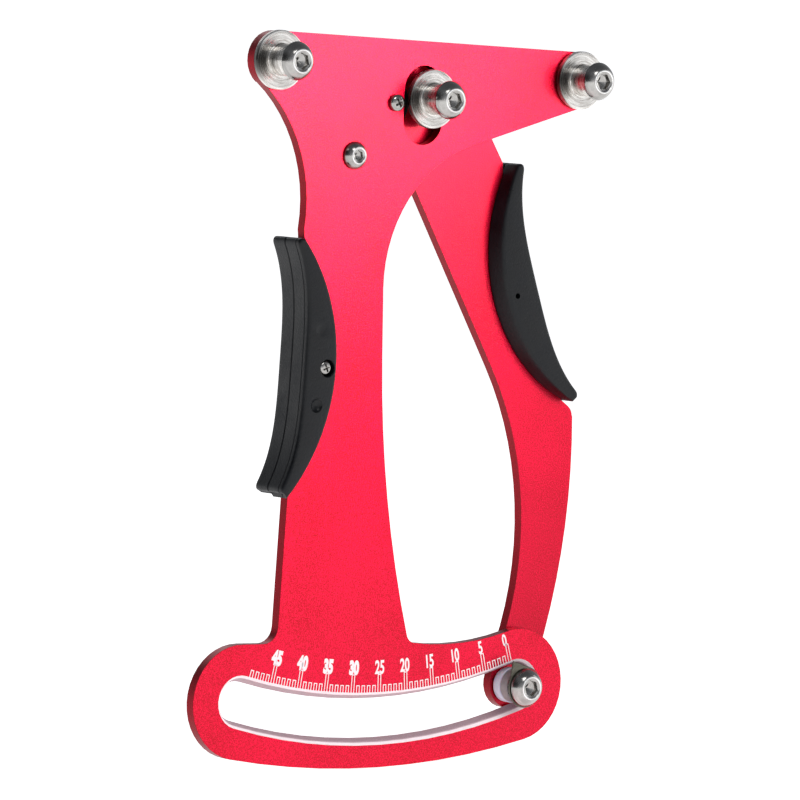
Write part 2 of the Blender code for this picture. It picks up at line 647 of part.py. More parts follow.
# Extension spring: a round hook about each post in the plates' plane, and a close coil between them
def spring_path():
    start, end = Vector((SPRING_SCREW[0], 0, SPRING_SCREW[1])), Vector((SPRING_PIN[0], 0, SPRING_PIN[1]))
    axis = (end - start).normalized()
    side = Vector((axis.z, 0, -axis.x))
    rise = Vector((0, 1, 0))
    span = (end - start).length
    depth = rise * SPRING_DEPTH
    hook = SPRING_COIL_RADIUS
    slack = hook - SPRING_WIRE_RADIUS - SPRING_NECK_RADIUS - SEAT_GAP - 0.3
    lead = hook + slack + SPRING_WIRE_RADIUS * 2
    pitch = 2 * SPRING_WIRE_RADIUS + SPRING_TURN_GAP
    turns = math.floor((span - 2 * lead) / pitch * 2) / 2
    coil_start = (span - turns * pitch) / 2
    points = []
    loop_steps, coil_steps = 12, 12
    for i in range(loop_steps):
        a = math.radians(90 + 290 * (1 - i / loop_steps))
        centre = start + axis * slack + depth
        points.append(centre + hook * (math.cos(a) * axis + math.sin(a) * side))
    points.append(start + axis * (slack + hook * 0.45) + side * hook + depth)
    count = int(turns * coil_steps)
    for i in range(count + 1):
        a = 2 * math.pi * i / coil_steps
        along = coil_start + pitch * i / coil_steps
        points.append(start + axis * along + depth + hook * (math.cos(a) * side + math.sin(a) * rise))
    flip = math.cos(2 * math.pi * turns)
    points.append(end - axis * (slack + hook * 0.45) + side * hook * flip + depth)
    for i in range(1, loop_steps + 1):
        a = math.radians(90 - 290 * i / loop_steps)
        centre = end - axis * slack + depth
        points.append(centre + hook * (math.cos(a) * axis + math.sin(a) * side * flip))
    return points


def return_spring(parent):
    curve = bpy.data.curves.new("return_spring", "CURVE")
    curve.dimensions = "3D"
    curve.bevel_depth = SPRING_WIRE_RADIUS * MM
    curve.bevel_resolution = 1
    curve.use_fill_caps = True
    points = spring_path()
    spline = curve.splines.new("POLY")
    spline.points.add(len(points) - 1)
    for spot, p in zip(spline.points, points):
        spot.co = (p.x * MM, p.y * MM, p.z * MM, 1.0)
    spring = bpy.data.objects.new("return_spring", curve)
    bpy.context.scene.collection.objects.link(spring)
    spring.parent = parent
    colour, metallic, roughness = FINISHES["spring_steel"]
    curve.materials.append(make_material("return_spring", colour, metallic, roughness))


# The pointer bolt's stack, from the lug forward through the slot: bush, collar, lock washer, pointer, head
def pointer_set(parent):
    at = POINTER_BOLT
    bore = POINTER_SCREW_RADIUS + HOLE_ROOM
    bush_back = LEVER_FRONT - SEAT_GAP
    bush_front = bush_back - BUSH_LENGTH
    collar_back = bush_front - SEAT_GAP
    collar_front = collar_back - COLLAR_LENGTH
    lock_back = collar_front - SEAT_GAP
    lock_front = lock_back - LOCK_WASHER_THICKNESS
    pointer_back = lock_front - SEAT_GAP
    pointer_front = pointer_back - POINTER_THICKNESS
    washer("slot_bush", at, parent, bush_front, bush_back, bore, BUSH_RADIUS, "nylon")
    washer("pointer_collar", at, parent, collar_front, collar_back, bore, COLLAR_RADIUS, "nylon")
    teeth = []
    for i in range(LOCK_WASHER_TEETH):
        for share, radius in ((0.0, LOCK_WASHER_RADIUS), (0.45, LOCK_WASHER_RADIUS), (0.55, LOCK_WASHER_RADIUS - 0.6),
                              (0.9, LOCK_WASHER_RADIUS - 0.6)):
            a = -2 * math.pi * (i + share) / LOCK_WASHER_TEETH
            teeth.append((radius * math.cos(a), radius * math.sin(a)))
    lock = new_object("pointer_lock_washer", slab(teeth, lock_front, lock_back), parent, "dark_steel", at)
    cut(lock, slab(circle(bore, 28), lock_front - 1.0, lock_back + 1.0), "lock_washer_bore", at)
    tip = polar(SLOT_RADIUS - POINTER_REACH, POINTER_TIP_ANGLE)
    outline = belt([(*at, POINTER_RADIUS), (*tip, 0.0)])
    local = [(x - at[0], z - at[1]) for x, z in outline]
    pointer = new_object("pointer_plate", slab(local, pointer_front, pointer_back), parent, "stainless", at)
    cut(pointer, slab(circle(bore, 28), pointer_front - 1.0, pointer_back + 1.0), "pointer_bore", at)
    button_screw("pointer_screw", at, parent, pointer_front - SEAT_GAP, (POST_HEAD_RADIUS, POST_HEAD_HEIGHT),
                 POINTER_SCREW_RADIUS, LEVER_BACK + SCREW_END, POST_SOCKET_WIDTH)


# One ring of a grip at a given depth: the hollow side down to the far tip, then the belly back up. The heel
# is how far the belly runs on past the hollow side at the lower tip.
def grip_ring(frame, side, heel, bulge, hollow_inset, belly_inset):
    steps = 20
    hollow, belly = [], []
    for i in range(steps + 1):
        share = (1 - math.cos(math.pi * i / steps)) / 2
        u = belly_inset + (GRIP_LENGTH - 2 * belly_inset) * share
        hollow.append(frame(u, hollow_side(u) + hollow_inset))
        belly.append(frame(u + heel * share ** 4, belly_side(u, bulge) - belly_inset))
    ring = hollow + belly[::-1]
    return ring if side < 0 else ring[::-1]


# How far the belly swells past its edge on the face, fullest at the plate and rounding in towards the face
def belly_swell(depth):
    level = PLATE_THICKNESS / 2 + SEAT_GAP
    share = max(0.0, (depth - level) / (GRIP_HALF_DEPTH - level))
    return GRIP_DRAFT * (1 - share ** 2)


# Half a grip: from the seam out to the rounded face, with the room for the plate cut out of it
def grip_half(name, frame, side, seat, middle, facing, seam, heel, parent):
    level = PLATE_THICKNESS / 2 + SEAT_GAP
    wall = GRIP_HALF_DEPTH - GRIP_ROUNDING
    depths = [facing * (seam - middle) + SEAT_GAP / 2, level + 0.4 * (wall - level), level + 0.75 * (wall - level), wall]
    shape = [(depth, belly_swell(depth), 0.0, 0.0) for depth in depths]
    for i in (1, 2, 3):
        a = math.radians(30 * i)
        depth = wall + GRIP_ROUNDING * math.sin(a)
        turn = 1 - math.cos(a)
        shape.append((depth, belly_swell(depth), GRIP_ROUNDING * turn, GRIP_BELLY_ROUNDING * turn))
    rings = [(middle + facing * depth, grip_ring(frame, side, heel, *insets)) for depth, *insets in shape]
    if facing < 0:
        rings.reverse()
    half = new_object(name, loft(rings), parent, "black_plastic")
    cut(half, slab(grip_pocket(seat, frame), middle - level, middle + level), name + "_pocket")
    screw_at = frame(GRIP_SCREW_ALONG, GRIP_SCREW_ACROSS)
    cut(half, slab(circle(GRIP_SCREW_RADIUS + HOLE_ROOM, 16), middle - GRIP_REACH, middle + GRIP_REACH),
        name + "_hole", screw_at)
    return half


# The room for the plate's edge inside a grip: everything on the belly's side of the seat arc
def grip_pocket(seat, frame):
    x, z, radius = seat
    reach = -radius - SEAT_GAP
    points = []
    steps = 20
    for i in range(steps + 1):
        u = -GRIP_POCKET_RUN + (GRIP_LENGTH + 2 * GRIP_POCKET_RUN) * i / steps
        px, pz = frame(u, 0.0)
        ox, oz = px - x, pz - z
        scale = reach / math.hypot(ox, oz)
        points.append((x + ox * scale, z + oz * scale))
    far = [frame(GRIP_LENGTH + GRIP_POCKET_RUN, 2 * GRIP_REACH), frame(-GRIP_POCKET_RUN, 2 * GRIP_REACH)]
    ring = points + far
    area = sum(a[0] * b[1] - b[0] * a[1] for a, b in zip(ring, ring[1:] + ring[:1]))
    return ring if area < 0 else ring[::-1]


def grip_marks(half, name, frame, face, facing):
    for tag, shift in (("upper", -GRIP_MARK_OFFSET), ("lower", GRIP_MARK_OFFSET)):
        at = frame(GRIP_SCREW_ALONG + shift, GRIP_MARK_ACROSS)
        radius = GRIP_MARK_RADIUS * (1.0 if tag == "upper" else 1.4)
        depths = sorted((face + facing * 1.0, face - facing * GRIP_MARK_DEPTH))
        cut(half, slab(circle(radius, 20), *depths), name + "_" + tag + "_mark", at)


# Both grips are the same pair of halves; the left one shows its screwed face, the right one is turned round
def grip_set(side_name, frame, side, seat, plate_front, screw_facing, parent):
    middle = plate_front + PLATE_THICKNESS / 2
    seam = middle - screw_facing * GRIP_SEAM_SHIFT
    screw_at = frame(GRIP_SCREW_ALONG, GRIP_SCREW_ACROSS)
    head_seat = middle + screw_facing * (GRIP_HALF_DEPTH - GRIP_SCREW_SINK - GRIP_SCREW_HEAD_HEIGHT)
    for half_name, facing in (("front", -1), ("back", 1)):
        name = side_name + "_grip_" + half_name
        heel = GRIP_SCREWED_HEEL if facing == screw_facing else GRIP_BLIND_HEEL
        half = grip_half(name, frame, side, seat, middle, facing, seam, heel, parent)
        face = middle + facing * GRIP_HALF_DEPTH
        if facing == screw_facing:
            bore = sorted((head_seat - facing * SEAT_GAP, face + facing * 1.0))
            cut(half, slab(circle(GRIP_SCREW_HEAD_RADIUS + HOLE_ROOM, 20), *bore), name + "_bore", screw_at)
            grip_marks(half, name, frame, face, facing)
    shank_end = middle - screw_facing * (GRIP_HALF_DEPTH - 0.5)
    cross_screw(side_name + "_grip_screw", screw_at, parent, head_seat,
                (GRIP_SCREW_HEAD_RADIUS, GRIP_SCREW_HEAD_HEIGHT), GRIP_SCREW_RADIUS, shank_end, screw_facing,
                "plated_steel")


def empty(name, parent=None):
    obj = bpy.data.objects.new(name, None)
    obj.empty_display_size = 0.01
    obj.parent = parent
    bpy.context.scene.collection.objects.link(obj)
    return obj


# The finished meter is centred on its own box
def centre_on_box(root):
    bpy.context.view_layer.update()
    depsgraph = bpy.context.evaluated_depsgraph_get()
    corners = []
    for obj in bpy.data.objects:
        if obj.type in {"MESH", "CURVE"} and not obj.hide_render:
            shape = obj.evaluated_get(depsgraph)
            mesh = shape.to_mesh()
            corners += [shape.matrix_world @ v.co for v in mesh.vertices]
            shape.to_mesh_clear()
    low = [min(p[i] for p in corners) for i in range(3)]
    high = [max(p[i] for p in corners) for i in range(3)]
    root.location = [-(a + b) / 2 for a, b in zip(low, high)]


def build():
    clear_scene()
    root = empty("meter")
    lever = empty("lever_pivot", root)
    scale_plate(root)
    lever_plate(lever)
    post_set("left", LEFT_POST, root, PLATE_THICKNESS, POST_THIN_NUT_HEIGHT)
    post_set("right", RIGHT_POST, root, PLATE_THICKNESS, POST_THIN_NUT_HEIGHT)
    post_set("moving", MOVING_POST, lever, LEVER_BACK, POST_NUT_HEIGHT, LEVER_FRONT - SEAT_GAP)
    pivot_set(root)
    spring_post(root)
    spring_pin(lever)
    return_spring(root)
    pointer_set(lever)
    left_seat = grip_seat(LEFT_GRIP, LEFT_EDGE_ABOVE, LEFT_EDGE_BELOW)
    right_seat = grip_seat(RIGHT_GRIP, RIGHT_EDGE_ABOVE, RIGHT_EDGE_BELOW)
    grip_set("left", LEFT_GRIP, 1, left_seat, 0.0, -1, root)
    grip_set("right", RIGHT_GRIP, -1, right_seat, LEVER_FRONT, 1, lever)
    centre_on_box(root)


build()
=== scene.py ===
# Spoke tension meter: the finish of every piece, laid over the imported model. Sizes are in millimetres.
import math
import bmesh
import bpy
from mathutils import Matrix, Vector


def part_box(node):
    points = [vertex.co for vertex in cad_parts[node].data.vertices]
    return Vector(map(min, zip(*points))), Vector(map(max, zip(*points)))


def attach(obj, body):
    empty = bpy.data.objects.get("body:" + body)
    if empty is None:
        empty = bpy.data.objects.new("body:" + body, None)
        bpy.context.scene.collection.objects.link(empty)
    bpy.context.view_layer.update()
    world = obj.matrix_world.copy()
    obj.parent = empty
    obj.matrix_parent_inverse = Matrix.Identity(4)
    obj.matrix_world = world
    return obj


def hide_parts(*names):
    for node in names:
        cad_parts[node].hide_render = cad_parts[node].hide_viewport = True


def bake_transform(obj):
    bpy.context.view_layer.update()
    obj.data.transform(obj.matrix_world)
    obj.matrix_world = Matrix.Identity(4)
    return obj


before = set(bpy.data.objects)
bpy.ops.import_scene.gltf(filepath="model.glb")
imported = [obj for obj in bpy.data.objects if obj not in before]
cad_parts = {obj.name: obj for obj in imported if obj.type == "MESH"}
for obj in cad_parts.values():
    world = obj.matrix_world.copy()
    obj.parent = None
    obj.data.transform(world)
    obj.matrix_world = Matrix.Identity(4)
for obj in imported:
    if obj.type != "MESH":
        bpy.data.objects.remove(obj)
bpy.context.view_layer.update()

mm = 0.001
pivotLow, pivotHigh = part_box("pivot_screw")
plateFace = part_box("scale_plate")[0][1]
origin = Vector(((pivotLow[0] + pivotHigh[0]) / 2, plateFace, (pivotLow[2] + pivotHigh[2]) / 2))
inPlace = Matrix.Translation(origin) @ Matrix.Scale(mm, 4)  # from millimetres round the pivot to metres


def boxOf(node):  # a CAD node's box in millimetres from the lever's pivot and the scale plate's face
    low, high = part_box(node)
    return [(low[i] - origin[i]) / mm for i in range(3)], [(high[i] - origin[i]) / mm for i in range(3)]


def axisOf(node):
    low, high = boxOf(node)
    return ((low[0] + high[0]) / 2, (low[2] + high[2]) / 2)


def polar(radius, angle):  # angle in degrees from straight down, positive to the right
    return (radius * math.sin(math.radians(angle)), -radius * math.cos(math.radians(angle)))


def linear(code):  # sRGB hex to linear
    values = [int(code[i:i + 2], 16) / 255 for i in (1, 3, 5)]
    return (*(v / 12.92 if v <= 0.04045 else ((v + 0.055) / 1.055) ** 2.4 for v in values), 1.0)


def addNode(tree, kind, sockets=None, **settings):
    made = tree.nodes.new(kind)
    for key, value in settings.items():
        setattr(made, key, value)
    for key, value in (sockets or {}).items():
        if isinstance(value, bpy.types.NodeSocket):
            tree.links.new(value, made.inputs[key])
        else:
            made.inputs[key].default_value = value
    return made


def newMaterial(name, **constants):
    material = bpy.data.materials.new(name)
    material.use_nodes = True
    tree = material.node_tree
    shader = tree.nodes["Principled BSDF"]
    for key, value in constants.items():
        shader.inputs[key.replace("_", " ")].default_value = value
    coords = addNode(tree, "ShaderNodeTexCoord").outputs["Object"]
    at = addNode(tree, "ShaderNodeVectorMath", {0: coords, 1: (1 / mm,) * 3}, operation="MULTIPLY").outputs[0]
    return material, tree, shader, at


# Two colours, a span of roughness and a bump, each led by a pattern. The span runs over the reach of wear.
def surface(tree, shader, look, tone, wear, relief=None, reach=(0.0, 1.0)):
    colour = addNode(tree, "ShaderNodeMix", {0: tone, 6: linear(look["dark"]), 7: linear(look["light"])},
                     data_type="RGBA").outputs[2]
    low, high = look["roughness"]
    rough = addNode(tree, "ShaderNodeMapRange",
                    {"Value": wear, 1: reach[0], 2: reach[1], 3: low, 4: high}).outputs[0]
    tree.links.new(colour, shader.inputs["Base Color"])
    tree.links.new(rough, shader.inputs["Roughness"])
    if relief is None:
        return colour, None
    bump = addNode(tree, "ShaderNodeBump", {"Height": relief, "Strength": look["bump"],
                                            "Distance": look["bumpDepth"] * mm}).outputs[0]
    tree.links.new(bump, shader.inputs["Normal"])
    return colour, bump


def addObject(name, data):
    made = bpy.data.objects.new(name, data)
    bpy.context.scene.collection.objects.link(made)
    return made


def plainMesh(holder):  # the mesh that an object's modifiers or letters give
    bpy.context.view_layer.update()
    return bpy.data.meshes.new_from_object(holder.evaluated_get(bpy.context.evaluated_depsgraph_get()))


def finishMesh(name, mesh, materials, sharp):
    mesh.name = name
    mesh.shade_smooth()
    mesh.set_sharp_from_angle(angle=math.radians(sharp))
    mesh.materials.clear()
    for material in materials:
        mesh.materials.append(material)
    return addObject(name, mesh)


def meshFrom(bm):  # closes doubles, turns faces outwards, then puts millimetres in their place in metres
    bmesh.ops.remove_doubles(bm, verts=bm.verts, dist=0.0005)
    bmesh.ops.recalc_face_normals(bm, faces=bm.faces)
    bm.transform(inPlace)
    mesh = bpy.data.meshes.new("made")
    bm.to_mesh(mesh)
    bm.free()
    return mesh


def makePiece(name, shape, materials, body, nodes=(), sharp=32):
    mesh = meshFrom(shape) if isinstance(shape, bmesh.types.BMesh) else shape
    piece = finishMesh(name, mesh, materials, sharp)
    if nodes:
        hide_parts(*nodes)
    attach(piece, body)
    return piece


def skin(rings, closed=False, capped=False):  # walls between rings of equal count, each a list of (x, y, z)
    bm = bmesh.new()
    rows = [[bm.verts.new(p) for p in ring] for ring in rings]
    for row in rows if capped else ():
        bm.faces.new(row)
    for near, far in zip(rows, rows[1:] + rows[:1] if closed else rows[1:]):
        for i in range(len(near)):
            j = (i + 1) % len(near)
            bm.faces.new((near[i], near[j], far[j], far[i]))
    return bm, rows


def loftRings(rings):  # both ends are closed by a fan
    bm, rows = skin(rings)
    for row in (rows[0], rows[-1]):
        middle = bm.verts.new(sum((v.co for v in row), Vector()) / len(row))
        for i in range(len(row)):
            bm.faces.new((row[i], row[(i + 1) % len(row)], middle))
    return bm


def hollowLoft(rings):  # the last ring closes onto the first, as round a bore
    return skin(rings, True)[0]


def prism(outline, front, back):  # a straight cutter with an outline of (x, z) points
    return skin([[(x, depth, z) for x, z in outline] for depth in (front, back)], capped=True)[0]


def roundAbout(centre, depth, radii, turn=0.0):  # a ring round a centre, one point for each radius
    angles = [2 * math.pi * i / len(radii) + turn for i in range(len(radii))]
    return [(centre[0] + r * math.cos(a), depth, centre[1] + r * math.sin(a)) for r, a in zip(radii, angles)]


def hexRadius(width, a):  # how far a hexagon's side is from its middle at an angle
    return width / 2 / math.cos((a + math.pi / 6) % (math.pi / 3) - math.pi / 6)


def turned(profile, centre, steps=96):  # a closed profile of (radius, depth) turned about the depth axis
    bm = bmesh.new()
    rows = []
    for radius, depth in profile:
        row = []
        for i in range(steps if radius > 1e-6 else 1):
            a = 2 * math.pi * i / steps
            row.append(bm.verts.new((centre[0] + radius * math.cos(a), depth,
                                     centre[1] + radius * math.sin(a))))
        rows.append(row)
    for k in range(len(rows)):
        near, far = rows[k], rows[(k + 1) % len(rows)]
        if len(near) == 1 and len(far) == 1:
            continue
        for i in range(steps):
            j = (i + 1) % steps
            corners = [near[i % len(near)], near[j % len(near)], far[j % len(far)], far[i % len(far)]]
            bm.faces.new(list(dict.fromkeys(corners)))
    return bm


def rounded(corners, radius, steps=4):  # rounds every corner of a profile that has room for it
    out = []
    for i, here in enumerate(corners):
        before, after = Vector(corners[i - 1]), Vector(corners[(i + 1) % len(corners)])
        point = Vector(here)
        a, b = before - point, after - point
        reach = min(radius, a.length * 0.45, b.length * 0.45)
        if point[0] < 1e-6 or reach < 0.01 or abs(a.angle(b) - math.pi) < 0.2:
            out.append(tuple(here))
            continue
        start, end = point + a.normalized() * reach, point + b.normalized() * reach
        for k in range(steps + 1):
            t = k / steps
            out.append(tuple(start * (1 - t) ** 2 + point * 2 * t * (1 - t) + end * t ** 2))
    return out


def cutAway(shape, cutters):  # shape and cutters are bmesh in millimetres; gives the plain mesh left over
    body = addObject("cutBody", meshFrom(shape))
    helpers = [body]
    for cutter in cutters:
        helpers.append(addObject("cutTool", meshFrom(cutter)))
        modifier = body.modifiers.new("cut", "BOOLEAN")
        modifier.operation = "DIFFERENCE"
        modifier.solver = "EXACT"
        modifier.object = helpers[-1]
    mesh = plainMesh(body)
    for helper in helpers:
        bpy.data.objects.remove(helper)
    if not mesh.polygons:
        raise RuntimeError("a cut left nothing over")
    return mesh


def newTree(name, **inputs):  # each kind of input with its labels
    tree = bpy.data.node_groups.new(name, "GeometryNodeTree")
    for kind, labels in inputs.items():
        for label in labels:
            tree.interface.new_socket(label, in_out="INPUT", socket_type="NodeSocket" + kind)
    tree.interface.new_socket("Geometry", in_out="OUTPUT", socket_type="NodeSocketGeometry")
    return tree, addNode(tree, "NodeGroupInput").outputs


def closeTree(tree, geometry, material):  # every tree ends in Realize Instances and Set Material
    real = addNode(tree, "GeometryNodeRealizeInstances", {0: geometry}).outputs[0]
    dressed = addNode(tree, "GeometryNodeSetMaterial", {"Geometry": real, "Material": material}).outputs[0]
    addNode(tree, "NodeGroupOutput", {0: dressed})


def growMesh(tree, values, seed=None):  # runs a tree on a seed mesh and gives the plain mesh
    holder = addObject("seed", seed or bpy.data.meshes.new("seed"))
    modifier = holder.modifiers.new("grow", "NODES")
    modifier.node_group = tree
    sockets = {item.name: item.identifier for item in tree.interface.items_tree if item.in_out == "INPUT"}
    for label, value in values.items():
        modifier[sockets[label]] = value
    mesh = plainMesh(holder)
    bpy.data.objects.remove(holder)
    mesh.transform(inPlace)
    return mesh


redLook = {"dark": "#A00514", "light": "#EC0A3E", "grain": 0.34, "cloud": 26.0, "roughness": (0.30, 0.42),
           "bumpDepth": 0.05, "bump": 0.8, "coat": 0.3, "coatRoughness": 0.2}
leverShadedLook = {**redLook, "dark": "#900212", "light": "#D80537"}  # painted shade: the lever is drawn in a darker copy of the plate's red, for the dimmer light that falls on it
# sawn edges stay rough under the dye: they look darker and have hardly any gloss
rimLook = {**redLook, "dark": "#6A0209", "light": "#96061E", "coat": 0.05}


# 6061 aluminium, bead blasted, then dyed and sealed anodising: a satin metal with a fine sparkle and a clear
# skin. The blasted grain is about 0.1 mm on the real plate and is drawn over three times as coarse, to show.
def redAnodised(name, look):
    material, tree, shader, at = newMaterial(name, Metallic=1.0, Coat_Weight=look["coat"],
                                             Coat_Roughness=look["coatRoughness"])
    grain = addNode(tree, "ShaderNodeTexNoise", {"Vector": at, "Scale": 1 / look["grain"], "Detail": 2.0,
                                                 "Roughness": 0.65}).outputs[0]
    cloud = addNode(tree, "ShaderNodeTexNoise", {"Vector": at, "Scale": 1 / look["cloud"],
                                                 "Detail": 1.0}).outputs[0]
    both = addNode(tree, "ShaderNodeMix", {0: 0.15, 2: grain, 3: cloud}).outputs[0]
    spread = addNode(tree, "ShaderNodeMapRange", {"Value": both, 1: 0.34, 2: 0.66}).outputs[0]
    bump = surface(tree, shader, look, spread, grain, grain, (0.3, 0.7))[1]
    tree.links.new(bump, shader.inputs["Coat Normal"])  # the clear skin follows the blasted grain
    return material


steelBase = {"ring": 0.3, "arc": 2.0, "bump": 1.0}
steelLook = {
    "turned": {**steelBase, "dark": "#A6A09A", "light": "#FFFDF9", "ring": 0.34, "arc": 1.6,
               "bumpDepth": 0.011, "roughness": (0.2, 0.36), "paintedFan": 0.9, "paintedFanFrom": 4.3},
    "polished": {**steelBase, "dark": "#94928F", "light": "#B6B4B1", "arc": 1.2, "bumpDepth": 0.001,
                 "roughness": (0.12, 0.22)},
    # painted highlight: near-white steel for the lip round a button head's flat
    "lipHighlight": {**steelBase, "dark": "#F2F0EE", "light": "#FFFFFF", "arc": 1.2, "bumpDepth": 0.001,
            "roughness": (0.4, 0.5)},
    "zinc": {**steelBase, "dark": "#85878A", "light": "#AEB0B2", "bumpDepth": 0.003,
             "roughness": (0.26, 0.4)},
    "olive": {**steelBase, "dark": "#4C4A41", "light": "#706E64", "bumpDepth": 0.002,
              "roughness": (0.28, 0.42)},
    "blackOxide": {**steelBase, "dark": "#1C1A19", "light": "#4A4643", "arc": 3.0, "bumpDepth": 0.004,
                   "roughness": (0.3, 0.48)},
}


# Steel worked on a lathe: fine rings, each fading after a part of a turn, run round the piece's own axis, and
# the highlights smear across them. The tool's real feed is about 0.1 mm and is drawn three times as coarse.
def latheSteel(name, kind, centre, grain=0.0):
    look = steelLook[kind]
    material, tree, shader, at = newMaterial(name, Metallic=1.0, Anisotropic=grain)
    heart = (origin[0] / mm + centre[0], 0.0, origin[2] / mm + centre[1])
    away = addNode(tree, "ShaderNodeVectorMath", {0: at, 1: heart}, operation="SUBTRACT").outputs[0]
    flat = addNode(tree, "ShaderNodeVectorMath", {0: away, 1: (1, 0, 1)}, operation="MULTIPLY").outputs[0]
    radius = addNode(tree, "ShaderNodeVectorMath", {0: flat}, operation="LENGTH").outputs["Value"]
    depth = addNode(tree, "ShaderNodeSeparateXYZ", {0: away}).outputs[1]
    run = addNode(tree, "ShaderNodeMath", {0: radius, 1: depth}, operation="SUBTRACT").outputs[0]
    across = addNode(tree, "ShaderNodeMath", {0: run, 1: 1 / look["ring"]}, operation="MULTIPLY").outputs[0]
    outward = addNode(tree, "ShaderNodeVectorMath", {0: flat}, operation="NORMALIZE").outputs[0]
    around = addNode(tree, "ShaderNodeVectorMath", {0: outward, "Scale": look["arc"]},
                     operation="SCALE").outputs[0]
    lift = addNode(tree, "ShaderNodeCombineXYZ", {1: across}).outputs[0]
    winding = addNode(tree, "ShaderNodeVectorMath", {0: around, 1: lift}, operation="ADD").outputs[0]
    rings = addNode(tree, "ShaderNodeTexNoise", {"Vector": winding, "Scale": 1.0, "Detail": 3.0,
                                                 "Roughness": 0.6}).outputs[0]
    smear = addNode(tree, "ShaderNodeTexNoise", {"Vector": at, "Scale": 0.5, "Detail": 3.0}).outputs[0]
    mixed = addNode(tree, "ShaderNodeMix", {0: 0.5, 2: rings, 3: smear}).outputs[0]
    spread = addNode(tree, "ShaderNodeMapRange", {"Value": rings, 1: 0.3, 2: 0.7}).outputs[0]
    colour = surface(tree, shader, look, spread, mixed, rings, (0.35, 0.65))[0]
    if "paintedFan" in look:  # painted highlight: the face's colour stays light up and down in a fan and turns darker to the sides, as a turned face throws its light
        rise = addNode(tree, "ShaderNodeSeparateXYZ", {0: outward}).outputs[2]
        steep = addNode(tree, "ShaderNodeMath", {0: rise, 1: rise}, operation="MULTIPLY").outputs[0]
        lit = addNode(tree, "ShaderNodeMapRange", {"Value": steep, 1: 0.0, 2: 0.5, 3: 1 - look["paintedFan"],
                                                   4: 1.0}).outputs[0]
        onFace = addNode(tree, "ShaderNodeMapRange", {"Value": radius, 1: look["paintedFanFrom"],
                                                      2: look["paintedFanFrom"] + 1.0}).outputs[0]
        shade = addNode(tree, "ShaderNodeMix", {0: onFace, 2: 1.0, 3: lit}).outputs[0]
        paintedFanColour = addNode(tree, "ShaderNodeMix", {0: 1.0, 6: colour, 7: shade}, data_type="RGBA",
                         blend_type="MULTIPLY").outputs[2]
        tree.links.new(paintedFanColour, shader.inputs["Base Color"])
    if grain:
        tree.links.new(flat, shader.inputs["Tangent"])
    return material


gripLook = {"dark": "#010203", "light": "#0B0E14", "spark": 0.5, "flow": 6.0, "roughness": (0.24, 0.56),
            "bump": 0.6, "bumpDepth": 0.12, "gloss": 0.28}


# Glass-filled nylon moulded in a spark-eroded tool: a matt grain with a slight satin gloss. The real grain is
# under 0.1 mm and is drawn five times as coarse, to show. The spacer's black acetal has the same look.
def mouldedNylon(name, look):
    material, tree, shader, at = newMaterial(name, IOR=1.53, Specular_IOR_Level=look["gloss"])
    spark = addNode(tree, "ShaderNodeTexNoise",
                    {"Vector": at, "Scale": 1 / look["spark"], "Detail": 2.0}).outputs[0]
    flow = addNode(tree, "ShaderNodeTexNoise",
                   {"Vector": at, "Scale": 1 / look["flow"], "Detail": 2.0}).outputs[0]
    mixed = addNode(tree, "ShaderNodeMix", {0: 0.5, 2: spark, 3: flow}).outputs[0]
    surface(tree, shader, look, flow, mixed, spark, (0.3, 0.7))
    return material


slotLook = {"dark": "#DDCDD2", "light": "#F6ECEE", "shadedWallDark": "#8E6E76", "shadedWallLight": "#C9AFB6",
            "grain": 0.34, "brightTo": 0.75, "fade": (-0.12, 0.08), "metal": 0.35, "roughness": (0.4, 0.62),
            "bump": 0.5, "bumpDepth": 0.02}


# Aluminium laid bare where the slot was milled after anodising: the bevel's lip is bright, and deeper in the
# colour turns to a darker pink, a painted shade with a painted reflection of the red plate
def milledSlot(name, look):
    material, tree, shader, at = newMaterial(name, Metallic=look["metal"])
    grain = addNode(tree, "ShaderNodeTexNoise",
                    {"Vector": at, "Scale": 1 / look["grain"], "Detail": 3.0}).outputs[0]
    depth = addNode(tree, "ShaderNodeSeparateXYZ", {0: at}).outputs[1]
    near, far = (plateFace / mm + look["brightTo"] + shift for shift in look["fade"])
    # painted shade and painted red reflection: faces deeper than the bevel take the darker pink wall colours
    shadedWallMask = addNode(tree, "ShaderNodeMapRange", {"Value": depth, 1: near, 2: far}).outputs[0]
    wall = addNode(tree, "ShaderNodeMix",
                   {0: grain, 6: linear(look["shadedWallDark"]), 7: linear(look["shadedWallLight"])},
                   data_type="RGBA").outputs[2]
    bevel = surface(tree, shader, look, grain, grain, grain)[0]
    colour = addNode(tree, "ShaderNodeMix", {0: shadedWallMask, 6: bevel, 7: wall}, data_type="RGBA").outputs[2]
    tree.links.new(colour, shader.inputs["Base Color"])
    return material


markLook = {"dark": "#F3DDE2", "light": "#FFFFFF", "speck": 3.0, "roughness": (0.6, 0.8)}


# The laser burns the dye out of the oxide and leaves a chalky white
def laserWhite(name, look):
    material, tree, shader, at = newMaterial(name)
    speck = addNode(tree, "ShaderNodeTexNoise",
                    {"Vector": at, "Scale": look["speck"], "Detail": 2.0}).outputs[0]
    surface(tree, shader, look, speck, speck)
    return material


nylonLook = {"dark": "#B4AEC2", "light": "#DAD5E4", "cloud": 0.7, "roughness": (0.32, 0.5), "bump": 0.3,
             "bumpDepth": 0.01, "milky": 0.35, "milkDepth": 0.0012}
# painted shade: the collar is the same natural nylon as the bush, drawn in a darker grey for the shadow it
# stands in
collarShadedLook = {**nylonLook, "dark": "#6E6466", "light": "#988C8E"}


